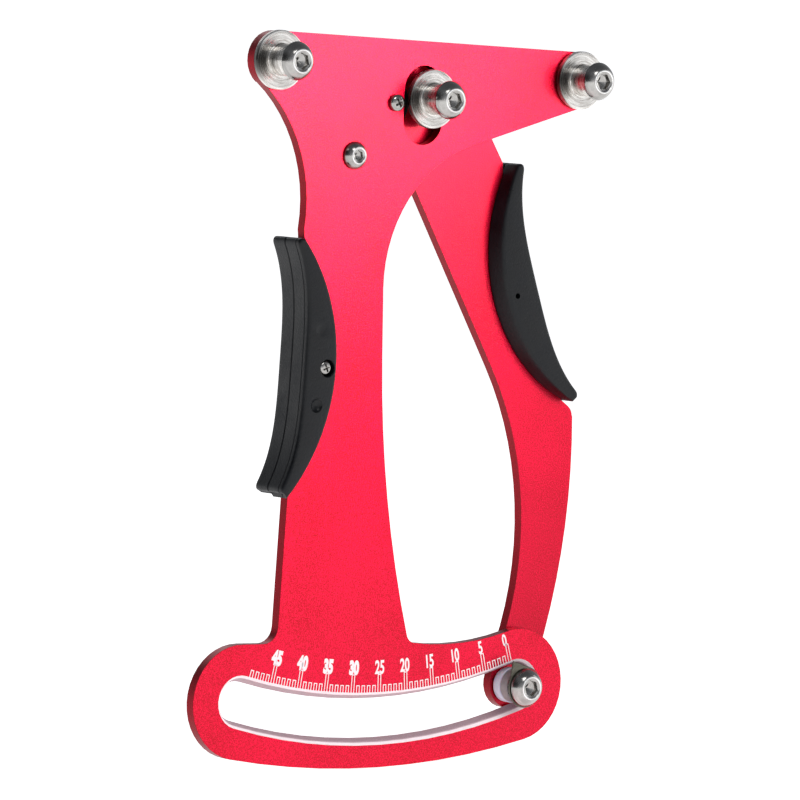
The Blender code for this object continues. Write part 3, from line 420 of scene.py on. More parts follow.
# Natural nylon 66, turned: milky, with light passing a millimetre into it and faint clouds
def naturalNylon(name, look):
    material, tree, shader, at = newMaterial(name, IOR=1.53, Subsurface_Weight=look["milky"],
                                             Subsurface_Scale=look["milkDepth"])
    cloud = addNode(tree, "ShaderNodeTexNoise",
                    {"Vector": at, "Scale": look["cloud"], "Detail": 3.0}).outputs[0]
    surface(tree, shader, look, cloud, cloud, cloud)
    return material


wireLook = {"dark": "#6F7174", "light": "#B9BABC", "patch": 1.6, "roughness": (0.2, 0.38)}


# Hard drawn spring wire: grey steel with a trace of drawing lubricant in patches
def springWire(name, look):
    material, tree, shader, at = newMaterial(name, Metallic=1.0)
    patch = addNode(tree, "ShaderNodeTexNoise",
                    {"Vector": at, "Scale": look["patch"], "Detail": 4.0}).outputs[0]
    surface(tree, shader, look, patch, patch)
    return material


redFinish = redAnodised("redAnodisedAluminium", redLook)
# painted shade: a darker copy of the red anodising, for the lever
leverShadedFinish = redAnodised("redAnodisedLeverShaded", leverShadedLook)
rimFinish = redAnodised("redAnodisedRim", rimLook)
gripFinish = mouldedNylon("blackMouldedNylon", gripLook)
slotFinish = milledSlot("milledAluminiumAndShade", slotLook)
markFinish = laserWhite("laserMarkedOxide", markLook)
bushFinish = naturalNylon("naturalNylon", nylonLook)
# painted shade: a darker copy of the natural nylon, for the collar
collarShadedFinish = naturalNylon("naturalNylonShaded", collarShadedLook)
spacerFinish = mouldedNylon("blackAcetal", gripLook)
wireFinish = springWire("drawnSpringWire", wireLook)
print("finishes made")


slotShape = {"radius": 168.15, "halfWidth": 5.4, "bevel": 1.85, "left": -18.3, "right": 14.6}


def slotDistance(x, z):  # how far a point is from the slot's middle line
    angle = math.degrees(math.atan2(x, -z))
    angle = max(slotShape["left"], min(slotShape["right"], angle))
    return math.dist((x, z), polar(slotShape["radius"], angle))


def plateCopy(node):
    bm = bmesh.new()
    bm.from_mesh(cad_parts[node].data)
    bmesh.ops.remove_doubles(bm, verts=bm.verts, dist=0.002 * mm)
    bmesh.ops.dissolve_limit(bm, angle_limit=math.radians(0.5), verts=bm.verts, edges=bm.edges)
    bmesh.ops.triangulate(bm, faces=[f for f in bm.faces if len(f.verts) > 4])
    return bm


def parted(mesh):  # the borders of the flat faces are sharp, so that their shading stays flat to the edge
    flat = [abs(p.normal.y) > 0.995 for p in mesh.polygons]
    sides = {}
    for p in mesh.polygons:
        for key in p.edge_keys:
            sides.setdefault(key, []).append(flat[p.index])
    mixed = [len(set(sides.get(tuple(sorted(e.vertices)), [True]))) > 1 for e in mesh.edges]
    old = [e.use_edge_sharp for e in mesh.edges]
    mesh.edges.foreach_set("use_edge_sharp", [a or b for a, b in zip(old, mixed)])


slotIndex, rimIndex = 1, 2
edgeOn = 0.9  # a face turned further from the front than this is a sawn edge
lugShape = {"node": "moving_post", "from": 7.0, "to": 10.0, "more": 0.6}


def dressPlate(name, node, bm, finish, body):
    mesh = bpy.data.meshes.new(name)
    bm.to_mesh(mesh)
    bm.free()
    spots = [p.material_index for p in mesh.polygons]
    piece = makePiece(name, mesh, [finish, slotFinish, rimFinish], body, [node])
    piece.data.polygons.foreach_set("material_index", spots)
    parted(piece.data)


def makePlates():
    bm = plateCopy("scale_plate")
    reach = slotShape["halfWidth"] + slotShape["bevel"] + 0.1
    for face in bm.faces:
        middle = (face.calc_center_median() - origin) / mm
        if abs(face.normal.y) < edgeOn:
            face.material_index = slotIndex if slotDistance(middle.x, middle.z) < reach else rimIndex
    dressPlate("scalePlate", "scale_plate", bm, redFinish, "frame")
    bm = plateCopy("lever_plate")
    heart = axisOf(lugShape["node"])
    # the lug's upper corner is filled out, so that no light passes above it in the window
    for vert in bm.verts:
        place = (vert.co - origin) / mm
        away = Vector((place.x - heart[0], 0.0, place.z - heart[1]))
        if away.x > 0 and away.z > 0 and lugShape["from"] < away.length < lugShape["to"]:
            vert.co += away.normalized() * lugShape["more"] * mm
    for face in bm.faces:
        if abs(face.normal.y) < edgeOn:
            face.material_index = rimIndex
    dressPlate("leverPlate", "lever_plate", bm, leverShadedFinish, "lever")


makePlates()
print("plates made")

scaleShape = {"zero": 14.35, "step": 0.656, "marks": 50, "last": 45, "foot": 161.0, "major": 5.1,
              "minor": 2.15, "width": 0.9, "line": 0.24, "lift": 0.03, "sink": 0.01}


# Each mark is the outline of a narrow tab on the slot's edge: two uprights and a bar across their tops
def markTree():
    tree, given = newTree("scaleMarks", Float=("Foot radius", "Zero angle", "Step angle", "Major height",
                                               "Minor height", "Tab width", "Line width", "Line depth",
                                               "Middle depth"), Int=("Count",), Material=("Finish",))
    tabs = []
    for label in ("Major height", "Minor height"):
        half = addNode(tree, "ShaderNodeMath", {0: given[label], 1: 0.5}, operation="MULTIPLY").outputs[0]
        side = addNode(tree, "ShaderNodeMath", {0: given["Tab width"], 1: 0.5},
                       operation="MULTIPLY").outputs[0]
        upright = addNode(tree, "ShaderNodeCombineXYZ", {0: given["Line width"], 1: given["Line depth"],
                                                         2: given[label]}).outputs[0]
        bars = []
        for turn in (-1.0, 1.0):
            shift = addNode(tree, "ShaderNodeMath", {0: side, 1: turn}, operation="MULTIPLY").outputs[0]
            place = addNode(tree, "ShaderNodeCombineXYZ", {0: shift, 2: half}).outputs[0]
            cube = addNode(tree, "GeometryNodeMeshCube", {"Size": upright}).outputs[0]
            bars.append(addNode(tree, "GeometryNodeTransform", {0: cube, "Translation": place}).outputs[0])
        room = addNode(tree, "ShaderNodeMath", {0: given["Tab width"], 1: given["Line width"]},
                       operation="SUBTRACT").outputs[0]
        lid = addNode(tree, "ShaderNodeCombineXYZ", {0: room, 1: given["Line depth"],
                                                     2: given["Line width"]}).outputs[0]
        back = addNode(tree, "ShaderNodeMath", {0: given["Line width"], 1: -0.5},
                       operation="MULTIPLY").outputs[0]
        top = addNode(tree, "ShaderNodeMath", {0: given[label], 1: back}, operation="ADD").outputs[0]
        place = addNode(tree, "ShaderNodeCombineXYZ", {2: top}).outputs[0]
        cube = addNode(tree, "GeometryNodeMeshCube", {"Size": lid}).outputs[0]
        bars.append(addNode(tree, "GeometryNodeTransform", {0: cube, "Translation": place}).outputs[0])
        joined = addNode(tree, "GeometryNodeJoinGeometry")
        for bar in bars:
            tree.links.new(bar, joined.inputs[0])
        tabs.append(joined.outputs[0])
    line = addNode(tree, "GeometryNodeMeshLine", {"Count": given["Count"]}).outputs[0]
    points = addNode(tree, "GeometryNodeMeshToPoints", {"Mesh": line}).outputs[0]
    index = addNode(tree, "GeometryNodeInputIndex").outputs[0]
    swing = addNode(tree, "ShaderNodeMath", {0: index, 1: given["Step angle"]},
                    operation="MULTIPLY").outputs[0]
    angle = addNode(tree, "ShaderNodeMath", {0: given["Zero angle"], 1: swing},
                    operation="SUBTRACT").outputs[0]
    sine, cosine = (addNode(tree, "ShaderNodeMath", {0: angle}, operation=kind).outputs[0]
                    for kind in ("SINE", "COSINE"))
    x, drop = (addNode(tree, "ShaderNodeMath", {0: given["Foot radius"], 1: part},
                       operation="MULTIPLY").outputs[0] for part in (sine, cosine))
    z = addNode(tree, "ShaderNodeMath", {0: drop, 1: -1.0}, operation="MULTIPLY").outputs[0]
    spot = addNode(tree, "ShaderNodeCombineXYZ", {0: x, 1: given["Middle depth"], 2: z}).outputs[0]
    placed = addNode(tree, "GeometryNodeSetPosition", {"Geometry": points, "Position": spot}).outputs[0]
    lean = addNode(tree, "ShaderNodeMath", {0: angle, 1: -1.0}, operation="MULTIPLY").outputs[0]
    turn = addNode(tree, "ShaderNodeCombineXYZ", {1: lean}).outputs[0]
    five = addNode(tree, "ShaderNodeMath", {0: index, 1: 5.0}, operation="MODULO").outputs[0]
    isMajor = addNode(tree, "FunctionNodeCompare", {0: five, 1: 0.5}, data_type="FLOAT",
                      operation="LESS_THAN").outputs[0]
    notMajor = addNode(tree, "FunctionNodeBooleanMath", {0: isMajor}, operation="NOT").outputs[0]
    every = addNode(tree, "GeometryNodeJoinGeometry")
    for tab, chosen in zip(tabs, (isMajor, notMajor)):
        row = addNode(tree, "GeometryNodeInstanceOnPoints",
                      {"Points": placed, "Selection": chosen, "Instance": tab, "Rotation": turn}).outputs[0]
        tree.links.new(row, every.inputs[0])
    closeTree(tree, every.outputs[0], given["Finish"])
    return tree


figures = {"least": 3.35, "most": 3.95, "squeeze": 0.64, "base": 155.75, "every": 5, "thin": 0.028,
           "bold": 0.065, "boldFrom": 30, "lift": 0.01, "extrude": 0.01, "depthScale": 2.0,
           "nudge": {0: (-0.5, 0.5), 5: (-0.2, 0.0), 10: (-0.5, 0.0), 15: (-0.55, 0.0), 20: (-0.2, 0.0)}}


# The numbers get taller towards the last one, and the nudges are the engraver's own: (to the right, down)
def makeScale():
    s, f = scaleShape, figures
    mesh = growMesh(markTree(), {
        "Foot radius": s["foot"], "Zero angle": math.radians(s["zero"]),
        "Step angle": math.radians(s["step"]), "Count": s["marks"], "Major height": s["major"],
        "Minor height": s["minor"], "Tab width": s["width"], "Line width": s["line"],
        "Line depth": s["lift"] + s["sink"], "Middle depth": (s["sink"] - s["lift"]) / 2,
        "Finish": markFinish})
    makePiece("scaleMarks", mesh, [markFinish], "frame")
    for value in range(0, s["last"] + 1, f["every"]):
        curve = bpy.data.curves.new("figure", "FONT")
        curve.body = str(value)
        curve.align_x = "CENTER"
        curve.size = 1.0
        curve.extrude = f["extrude"]
        curve.offset = f["bold"] if value >= f["boldFrom"] else f["thin"]
        label = addObject("figure", curve)
        mesh = plainMesh(label)
        bpy.data.objects.remove(label)
        top = max(v.co.y for v in mesh.vertices)
        height = f["least"] + (f["most"] - f["least"]) * value / s["last"]
        size = height / top
        angle = math.radians(s["zero"] - s["step"] * value)
        aside, down = f["nudge"].get(value, (0.0, 0.0))
        foot = polar(f["base"] + down, math.degrees(angle + aside / f["base"]))
        stand = Matrix(((size * f["squeeze"], 0, 0, 0), (0, 0, -f["depthScale"], 0), (0, size, 0, 0),
                        (0, 0, 0, 1)))
        lean = Matrix.Rotation(-angle, 4, "Y")
        mesh.transform(inPlace @ Matrix.Translation((foot[0], -f["lift"], foot[1])) @ lean @ stand)
        makePiece("figure" + str(value), mesh, [markFinish], "frame")


makeScale()
print("scale made")


def headRing(depth, radius, centre, turn, hexWidth=0.0, steps=96):  # a circle, or a hexagon of that width
    angles = [2 * math.pi * i / steps for i in range(steps)]
    return roundAbout(centre, depth, [hexRadius(hexWidth, a) if hexWidth else radius for a in angles], turn)


m6Button = {"shank": 3.0, "socket": 4.0, "headRadius": 5.25, "headHeight": 2.8}
m5Button = {**m6Button, "shank": 2.5}  # the pointer's: a thinner shank under the same head
m4Button = {"shank": 2.0, "socket": 2.5, "headRadius": 3.8, "headHeight": 2.0}
buttonHead = {"flat": 0.6, "swell": 0.1, "rim": 0.1, "socketDepth": 0.62, "well": 0.25, "domeSteps": 13,
              "pitch": 0.8, "thread": 0.28, "point": 0.45, "pointLength": 0.35, "under": 0.12,
              "bead": ((0.12, -0.1), (0.04, -0.02), (0.0, 0.1), (0.03, 0.22), (0.12, 0.32), (0.2, 0.42)),
              "mouth": (0.27, 0.34, 0.46), "mouthMore": 0.06, "lipDeep": 0.14, "lipFrom": -0.36,
              "lipTo": 0.12}


# A button head with a polished dome, a turned lip round its flat drawn near white as a painted highlight, and
# a hex socket with drilled floor
def buttonScrew(name, node, body, size, turn, finish, threadFrom):
    centre = axisOf(node)
    low, high = boxOf(node)
    top, end = low[1], high[1]
    s, shank, socket, headRadius = buttonHead, size["shank"], size["socket"], size["headRadius"]
    headHeight = size["headHeight"]
    seat = top + headHeight
    rings = [(end, shank - s["point"], 0), (end - s["pointLength"], shank - 0.08, 0)]
    depth = end - 0.5
    while depth > threadFrom:
        rings += [(depth, shank - s["thread"], 0), (depth - s["pitch"] * 0.4, shank, 0),
                  (depth - s["pitch"] * 0.6, shank, 0)]
        depth -= s["pitch"]
    rings += [(seat + 0.3, shank, 0), (seat, shank + 0.02, 0), (seat, headRadius - s["under"], 0),
              (seat - 0.1, headRadius, 0), (seat - headHeight * s["rim"], headRadius, 0)]
    flatRadius = headRadius * s["flat"]
    rimTop = seat - headHeight * s["rim"]
    inward, rise = headRadius - flatRadius, rimTop - top
    slant = math.hypot(inward, rise)
    for i in range(1, s["domeSteps"]):
        t = i / s["domeSteps"]
        bow = headHeight * s["swell"] * 4 * t * (1 - t)
        rings.append((rimTop - rise * t - bow * inward / slant, headRadius - inward * t + bow * rise / slant,
                      0))
    rings += [(top + drop, flatRadius - inset, 0) for drop, inset in s["bead"]]  # a small bead round the dish
    mouth, more = socket / math.sqrt(3), s["mouthMore"]
    floor = top + headHeight * s["socketDepth"]
    rings += [(top + s["mouth"][0], mouth + more, 0), (top + s["mouth"][1], 0, socket + more),
              (top + s["mouth"][2], 0, socket), (floor, 0, socket),
              (floor + 0.05, socket / 2 * 0.9, 0), (floor + socket * s["well"], 0.05, 0)]
    bm = loftRings([headRing(depth, radius, centre, turn, hexWidth) for depth, radius, hexWidth in rings])
    lipHighlight = latheSteel(name + "LipHighlight", "lipHighlight", centre)
    piece = makePiece(name, bm, [finish, lipHighlight], body, [node], 28)
    # painted highlight: the faces round the flat's edge take the near-white lip steel
    for face in piece.data.polygons:
        place = (face.center - origin) / mm
        out = math.dist((place.x, place.z), centre) - flatRadius
        if place.y < top + s["lipDeep"] and s["lipFrom"] < out < s["lipTo"]:
            face.material_index = 1


postShape = {"flange": 8.05, "flangeDepth": 1.75, "sleeve": 4.25, "fillet": 0.3, "bore": 3.1, "spigot": 4.0,
             "grooves": 2, "grooveDepth": 0.03, "proud": 0.12, "foot": -0.25, "broken": 0.2,
             "sleeveEdge": ((0.35, 0.0), (0.1, 0.1), (0.0, 0.35)),
             "faceEdge": ((0.32, 0.0), (0.1, 0.08), (0.0, 0.3)),
             "footEdge": ((0.0, 0.3), (0.1, 0.08), (0.3, 0.0))}


# A turned spool. The tool has left fine grooves on the flange's face, and its edges are just broken.
def makePost(name, node, body, finish, hasSpigot):
    centre = axisOf(node)
    low, high = boxOf(node)
    s, edge = postShape, postShape["broken"]
    front, foot = low[1] - s["proud"], s["foot"]
    face = foot - s["flangeDepth"]
    profile = [(s["bore"], front + edge), (s["bore"] + edge, front)]
    profile += [(s["sleeve"] - inset, front + drop) for inset, drop in s["sleeveEdge"]]
    for i in range(9):
        a = math.radians(90 * i / 8)
        profile.append((s["sleeve"] + s["fillet"] * (1 - math.cos(a)),
                        face - s["fillet"] * (1 - math.sin(a))))
    first, last = s["sleeve"] + s["fillet"] + 0.15, s["flange"] - 0.45
    step = (last - first) / s["grooves"]
    for i in range(s["grooves"]):
        r = first + step * i
        profile += [(r, face), (r + step * 0.35, face + s["grooveDepth"]), (r + step * 0.7, face)]
    profile += [(s["flange"] - inset, face + drop) for inset, drop in s["faceEdge"]]
    profile += [(s["flange"] - inset, foot - drop) for inset, drop in s["footEdge"]]
    if hasSpigot:
        profile += [(s["spigot"] + edge, foot), (s["spigot"], foot + edge), (s["spigot"], high[1] - edge),
                    (s["spigot"] - edge, high[1]), (s["bore"], high[1])]
    else:
        profile.append((s["bore"], foot))
    makePiece(name, turned(profile, centre), [finish], body, [node], 30)


nutShape = {"steps": 120, "coneRadius": 0.97, "coneAngle": 30, "cone": (0.0, 0.12, 0.25), "flare": 0.35,
            "flareDepth": 0.3}


# A nut: the hexagon's corners are cut off by a cone at both ends, as they are on a real one
def makeNut(name, node, body, width, bore):
    centre = axisOf(node)
    low, high = boxOf(node)
    front, back = low[1], high[1]
    n, span = nutShape, high[1] - low[1]
    finish = latheSteel(name + "Zinc", "zinc", centre)
    angles = [2 * math.pi * i / n["steps"] for i in range(n["steps"])]
    rings = []
    depths = [front + share * span for share in n["cone"]]
    depths += [back - share * span for share in n["cone"][::-1]]
    for depth in depths:
        room = width / 2 * n["coneRadius"]
        room += min(depth - front, back - depth) / math.tan(math.radians(n["coneAngle"]))
        rings.append(roundAbout(centre, depth, [min(room, hexRadius(width, a)) for a in angles], math.pi / 6))
    for depth, r in ((back, bore + n["flare"]), (back - n["flareDepth"], bore),
                     (front + n["flareDepth"], bore), (front, bore + n["flare"])):
        rings.append(roundAbout(centre, depth, [r] * n["steps"], math.pi / 6))
    makePiece(name, hollowLoft(rings), [finish], body, [node], 24)


# A washer, a bush or a spacer: a plain ring with rounded edges
def makeRing(name, node, body, slot, finish, inner, edge=0.12, front=None, back=None, outer=None):
    centre = axisOf(node)
    low, high = boxOf(node)
    outer = outer or (high[0] - low[0]) / 2
    front, back = low[1] if front is None else front, high[1] if back is None else back
    corners = [(inner, front), (outer, front), (outer, back), (inner, back)]
    makePiece(name, turned(rounded(corners, edge), centre), [finish], body, [node], 40)


crossHead = {"arm": 0.62, "half": 0.15, "depth": 0.6, "floor": 0.45, "mouth": 1.1, "above": 0.3,
             "crown": 0.35, "sink": 0.72, "edge": 0.06, "point": 0.3}
pivotPan = {"radius": 2.35, "height": 1.5, "shank": 1.5, "turn": 0.5, "cutShort": 0.0}
gripPan = {"radius": 2.1, "height": 1.3, "shank": 0.9, "turn": 0.35, "cutShort": 3.0}


# A pan head with a cross recess: the recess narrows to its floor, and its walls catch the light
def crossScrew(name, node, body, finish, size, facing=-1):
    centre = axisOf(node)
    low, high = boxOf(node)
    h, radius, height, shank, turn = crossHead, size["radius"], size["height"], size["shank"], size["turn"]
    top = low[1] if facing < 0 else high[1]
    inward = -facing
    end = (high[1] if facing < 0 else low[1]) - inward * size["cutShort"]
    under = top + inward * height
    profile = [(0.0, top)]
    for i in range(10):
        a = math.pi / 2 * (i / 9)
        profile.append((radius * (h["crown"] + (1 - h["crown"]) * math.sin(a)),
                        top + inward * height * h["sink"] * (1 - math.cos(a))))
    profile += [(radius, top + inward * (height - h["edge"])), (radius - h["edge"], under), (shank, under),
                (shank, end - inward * h["point"]), (shank - h["point"], end), (0.0, end)]
    arm, half = radius * h["arm"], radius * h["half"]
    star = [(arm, half), (half, half), (half, arm), (-half, arm), (-half, half), (-arm, half), (-arm, -half),
            (-half, -half), (-half, -arm), (half, -arm), (half, -half), (arm, -half)]
    rings = []
    for depth, share in ((top - inward * h["above"], h["mouth"]),
                         (top + inward * height * h["depth"], h["floor"])):
        rings.append([(centre[0] + share * (x * math.cos(turn) - z * math.sin(turn)), depth,
                       centre[1] + share * (x * math.sin(turn) + z * math.cos(turn))) for x, z in star])
    mesh = cutAway(turned(profile, centre, 64), [loftRings(rings)])
    makePiece(name, mesh, [finish], body, [node], 25)


fitting = {"socketTurn": {"left": 0.12, "right": 0.45, "moving": 0.3, "pointer": 0.2, "spring": 0.1},
           "pointerThread": 4.0, "springThread": 8.0, "bigNut": (10.0, 3.1), "smallNut": (5.5, 1.6),
           "grain": 0.8, "bigWasher": 3.25, "pivotBore": 1.75, "spacerBore": 2.85, "pointerBore": 2.75,
           "bush": {"edge": 0.35, "front": 0.95},
           "collar": {"edge": 0.3, "front": -2.35, "back": 0.8, "outer": 4.7}}


def makeFasteners():
    f = fitting
    turns = f["socketTurn"]
    for side, body in (("left", "frame"), ("right", "frame"), ("moving", "lever")):
        node = side + "_post"
        centre = axisOf(node)
        bright = latheSteel(side + "PostTurned", "turned", centre, f["grain"])
        makePost(side + "Post", node, body, bright, side == "moving")
        polished = latheSteel(side + "ScrewPolished", "polished", centre)
        threadFrom = boxOf(node + "_nut")[0][1]
        buttonScrew(side + "PostScrew", node + "_screw", body, m6Button, turns[side], polished, threadFrom)
        makeNut(side + "PostNut", node + "_nut", body, *f["bigNut"])
    polished = latheSteel("pointerScrewPolished", "polished", axisOf("pointer_screw"))
    buttonScrew("pointerScrew", "pointer_screw", "lever", m5Button, turns["pointer"], polished,
                f["pointerThread"])
    polished = latheSteel("springScrewPolished", "polished", axisOf("spring_screw"))
    buttonScrew("springScrew", "spring_screw", "frame", m4Button, turns["spring"], polished,
                f["springThread"])
    zinc = latheSteel("movingWasherZinc", "zinc", axisOf("moving_post_washer"))
    makeRing("movingPostWasher", "moving_post_washer", "lever", "plated_steel", zinc, f["bigWasher"])
    zinc = latheSteel("pivotZinc", "zinc", (0.0, 0.0))
    polished = latheSteel("pivotScrewPolished", "polished", (0.0, 0.0))
    crossScrew("pivotScrew", "pivot_screw", "frame", polished, pivotPan)
    makeRing("pivotWasher", "pivot_washer", "frame", "plated_steel", zinc, f["pivotBore"])
    makeRing("pivotBush", "pivot_bush", "frame", "plated_steel", zinc, f["pivotBore"])
    makeRing("pivotSpacer", "pivot_spacer", "frame", "black_plastic", spacerFinish, f["spacerBore"])
    makeNut("pivotNut", "pivot_nut", "frame", *f["smallNut"])
    for side, body, facing in (("left", "frame", -1), ("right", "lever", 1)):
        node = side + "_grip_screw"
        finish = latheSteel(side + "GripScrewZinc", "polished", axisOf(node))
        crossScrew(side + "GripScrew", node, body, finish, gripPan, facing)
    for name, node, finish, shape in (("slotBush", "slot_bush", bushFinish, f["bush"]),
                                      ("pointerCollar", "pointer_collar", collarShadedFinish, f["collar"])):
        makeRing(name, node, "lever", "white_nylon", finish, f["pointerBore"], **shape)


makeFasteners()
print("posts, screws and nuts made")

lockWasher = {"teeth": 18, "ringRadius": 4.0, "ringWidth": 1.3, "thickness": 0.34, "toothLength": 0.75,
              "toothWidth": 1.2, "toothRadius": 4.78, "twist": 0.42}


# An external tooth washer: a flat ring, with every tooth twisted so that its edge bites
def lockWasherTree():
    tree, given = newTree("lockWasher", Float=("Ring radius", "Ring width", "Thickness", "Tooth radius",
                                               "Twist"), Int=("Teeth",), Vector=("Tooth size", "Place"),
                          Material=("Finish",))
    circle = addNode(tree, "GeometryNodeCurvePrimitiveCircle",
                     {"Resolution": 96, "Radius": given["Ring radius"]})
    section = addNode(tree, "GeometryNodeCurvePrimitiveQuadrilateral", {"Width": given["Ring width"],
                                                                        "Height": given["Thickness"]})
    ring = addNode(tree, "GeometryNodeCurveToMesh",
                   {0: circle.outputs[0], "Profile Curve": section.outputs[0]})
    rim = addNode(tree, "GeometryNodeMeshCircle",
                  {"Vertices": given["Teeth"], "Radius": given["Tooth radius"]})
    points = addNode(tree, "GeometryNodeMeshToPoints", {"Mesh": rim.outputs[0]}).outputs[0]
    index = addNode(tree, "GeometryNodeInputIndex").outputs[0]
    share = addNode(tree, "ShaderNodeMath", {0: index, 1: given["Teeth"]}, operation="DIVIDE").outputs[0]
    angle = addNode(tree, "ShaderNodeMath", {0: share, 1: 2 * math.pi}, operation="MULTIPLY").outputs[0]
    turn = addNode(tree, "ShaderNodeCombineXYZ", {0: given["Twist"], 2: angle}).outputs[0]
    tooth = addNode(tree, "GeometryNodeMeshCube", {"Size": given["Tooth size"]}).outputs[0]
    teeth = addNode(tree, "GeometryNodeInstanceOnPoints",
                    {"Points": points, "Instance": tooth, "Rotation": turn})
    both = addNode(tree, "GeometryNodeJoinGeometry")
    tree.links.new(ring.outputs[0], both.inputs[0])
    tree.links.new(teeth.outputs[0], both.inputs[0])
    placed = addNode(tree, "GeometryNodeTransform", {0: both.outputs[0], "Translation": given["Place"],
                                                     "Rotation": (math.pi / 2, 0.0, 0.0)}).outputs[0]
    closeTree(tree, placed, given["Finish"])
    return tree


pointerPlate = {"radius": 5.7, "reach": 8.5, "tipAngle": 13.57, "bore": 2.75, "broken": 0.14}


def pointerOutline(centre, radius, inset):  # a disc drawn out to a sharp tip, one point every two degrees
    tip = polar(slotShape["radius"] - pointerPlate["reach"], pointerPlate["tipAngle"])
    away = math.hypot(tip[0] - centre[0], tip[1] - centre[1]) - inset * 2
    lead = math.atan2(tip[1] - centre[1], tip[0] - centre[0])
    disc = radius - inset
    spread = math.acos(disc / away)
    outline = []
    for i in range(180):
        a = 2 * math.pi * i / 180
        off = (a - lead + math.pi) % (2 * math.pi) - math.pi
        r = disc if abs(off) >= spread else disc / math.cos(spread - abs(off))
        outline.append((centre[0] + r * math.cos(a), centre[1] + r * math.sin(a)))
    return outline


def makePointer():
    centre = axisOf("pointer_lock_washer")
    low, high = boxOf("pointer_lock_washer")
    w = lockWasher
    oxide = latheSteel("lockWasherOxide", "blackOxide", centre)
    mesh = growMesh(lockWasherTree(), {
        "Ring radius": w["ringRadius"], "Ring width": w["ringWidth"], "Thickness": w["thickness"],
        "Teeth": w["teeth"], "Tooth radius": w["toothRadius"],
        "Tooth size": (w["toothLength"], w["toothWidth"], w["thickness"]),
        "Twist": w["twist"], "Place": (centre[0], (low[1] + high[1]) / 2, centre[1]), "Finish": oxide})
    makePiece("pointerLockWasher", mesh, [oxide], "lever", ["pointer_lock_washer"])
    low, high = boxOf("pointer_plate")
    p = pointerPlate
    centre = axisOf("pointer_screw")
    rings = []
    for depth, inset in ((low[1], p["broken"]), (low[1] + p["broken"], 0.0), (high[1] - p["broken"], 0.0),
                         (high[1], p["broken"])):
        rings.append([(x, depth, z) for x, z in pointerOutline(centre, p["radius"], inset)])
    rings += [roundAbout(centre, depth, [p["bore"]] * 180) for depth in (high[1], low[1])]
    olive = latheSteel("pointerSteel", "olive", centre)
    makePiece("pointerPlate", hollowLoft(rings), [olive], "lever", ["pointer_plate"], 28)


makePointer()
print("pointer made")


springShape = {"wire": 0.6, "coil": 3.3, "gap": 0.3, "neck": 2.25, "seat": 0.25, "free": 0.3, "hook": 290,
               "turnSteps": 32, "sides": 12, "held": 6.0}


# An extension spring: a round hook at each end, lying in the plates' plane, and a close coil between them
def springPath(start, end):
    k = springShape
    axis = (end - start).normalized()
    side = Vector((axis.z, 0, -axis.x))
    rise = Vector((0, 1, 0))
    span = (end - start).length
    slack = k["coil"] - k["wire"] - k["neck"] - k["seat"] - k["free"]
    lead = k["coil"] + slack + k["wire"] * 2
    pitch = 2 * k["wire"] + k["gap"]
    turns = math.floor((span - 2 * lead) / pitch * 2) / 2
    first = (span - turns * pitch) / 2
    flip = math.cos(2 * math.pi * turns)
    points = []
    for i in range(k["turnSteps"]):
        a = math.radians(90 + k["hook"] * (1 - i / k["turnSteps"]))
        points.append(start + axis * slack + k["coil"] * (math.cos(a) * axis + math.sin(a) * side))
    points.append(start + axis * (slack + k["coil"] * 0.45) + side * k["coil"])
    for i in range(int(turns * k["turnSteps"]) + 1):
        a = 2 * math.pi * i / k["turnSteps"]
        along = first + pitch * i / k["turnSteps"]
        points.append(start + axis * along + k["coil"] * (math.cos(a) * side + math.sin(a) * rise))
    points.append(end - axis * (slack + k["coil"] * 0.45) + side * k["coil"] * flip)
    for i in range(1, k["turnSteps"] + 1):
        a = math.radians(90 - k["hook"] * i / k["turnSteps"])
        points.append(end - axis * slack + k["coil"] * (math.cos(a) * axis + math.sin(a) * side * flip))
    return points


def wireTree():
    tree, given = newTree("springWire", Geometry=("Path",), Float=("Wire radius",), Int=("Sides",),
                          Material=("Finish",))
    path = addNode(tree, "GeometryNodeMeshToCurve", {"Mesh": given["Path"]}).outputs[0]
    section = addNode(tree, "GeometryNodeCurvePrimitiveCircle", {"Resolution": given["Sides"],
                                                                 "Radius": given["Wire radius"]}).outputs[0]
    wire = addNode(tree, "GeometryNodeCurveToMesh",
                   {0: path, "Profile Curve": section, "Fill Caps": True}).outputs[0]
    closeTree(tree, wire, given["Finish"])
    return tree


# The post is a standoff on the spring screw, and the pin stands in the lever's ear on a slim foot
spoolShape = {"edge": 0.28, "postBore": 2.25, "postNeckMore": 0.3, "pinFoot": 2.0, "pinFootLength": 3.25}


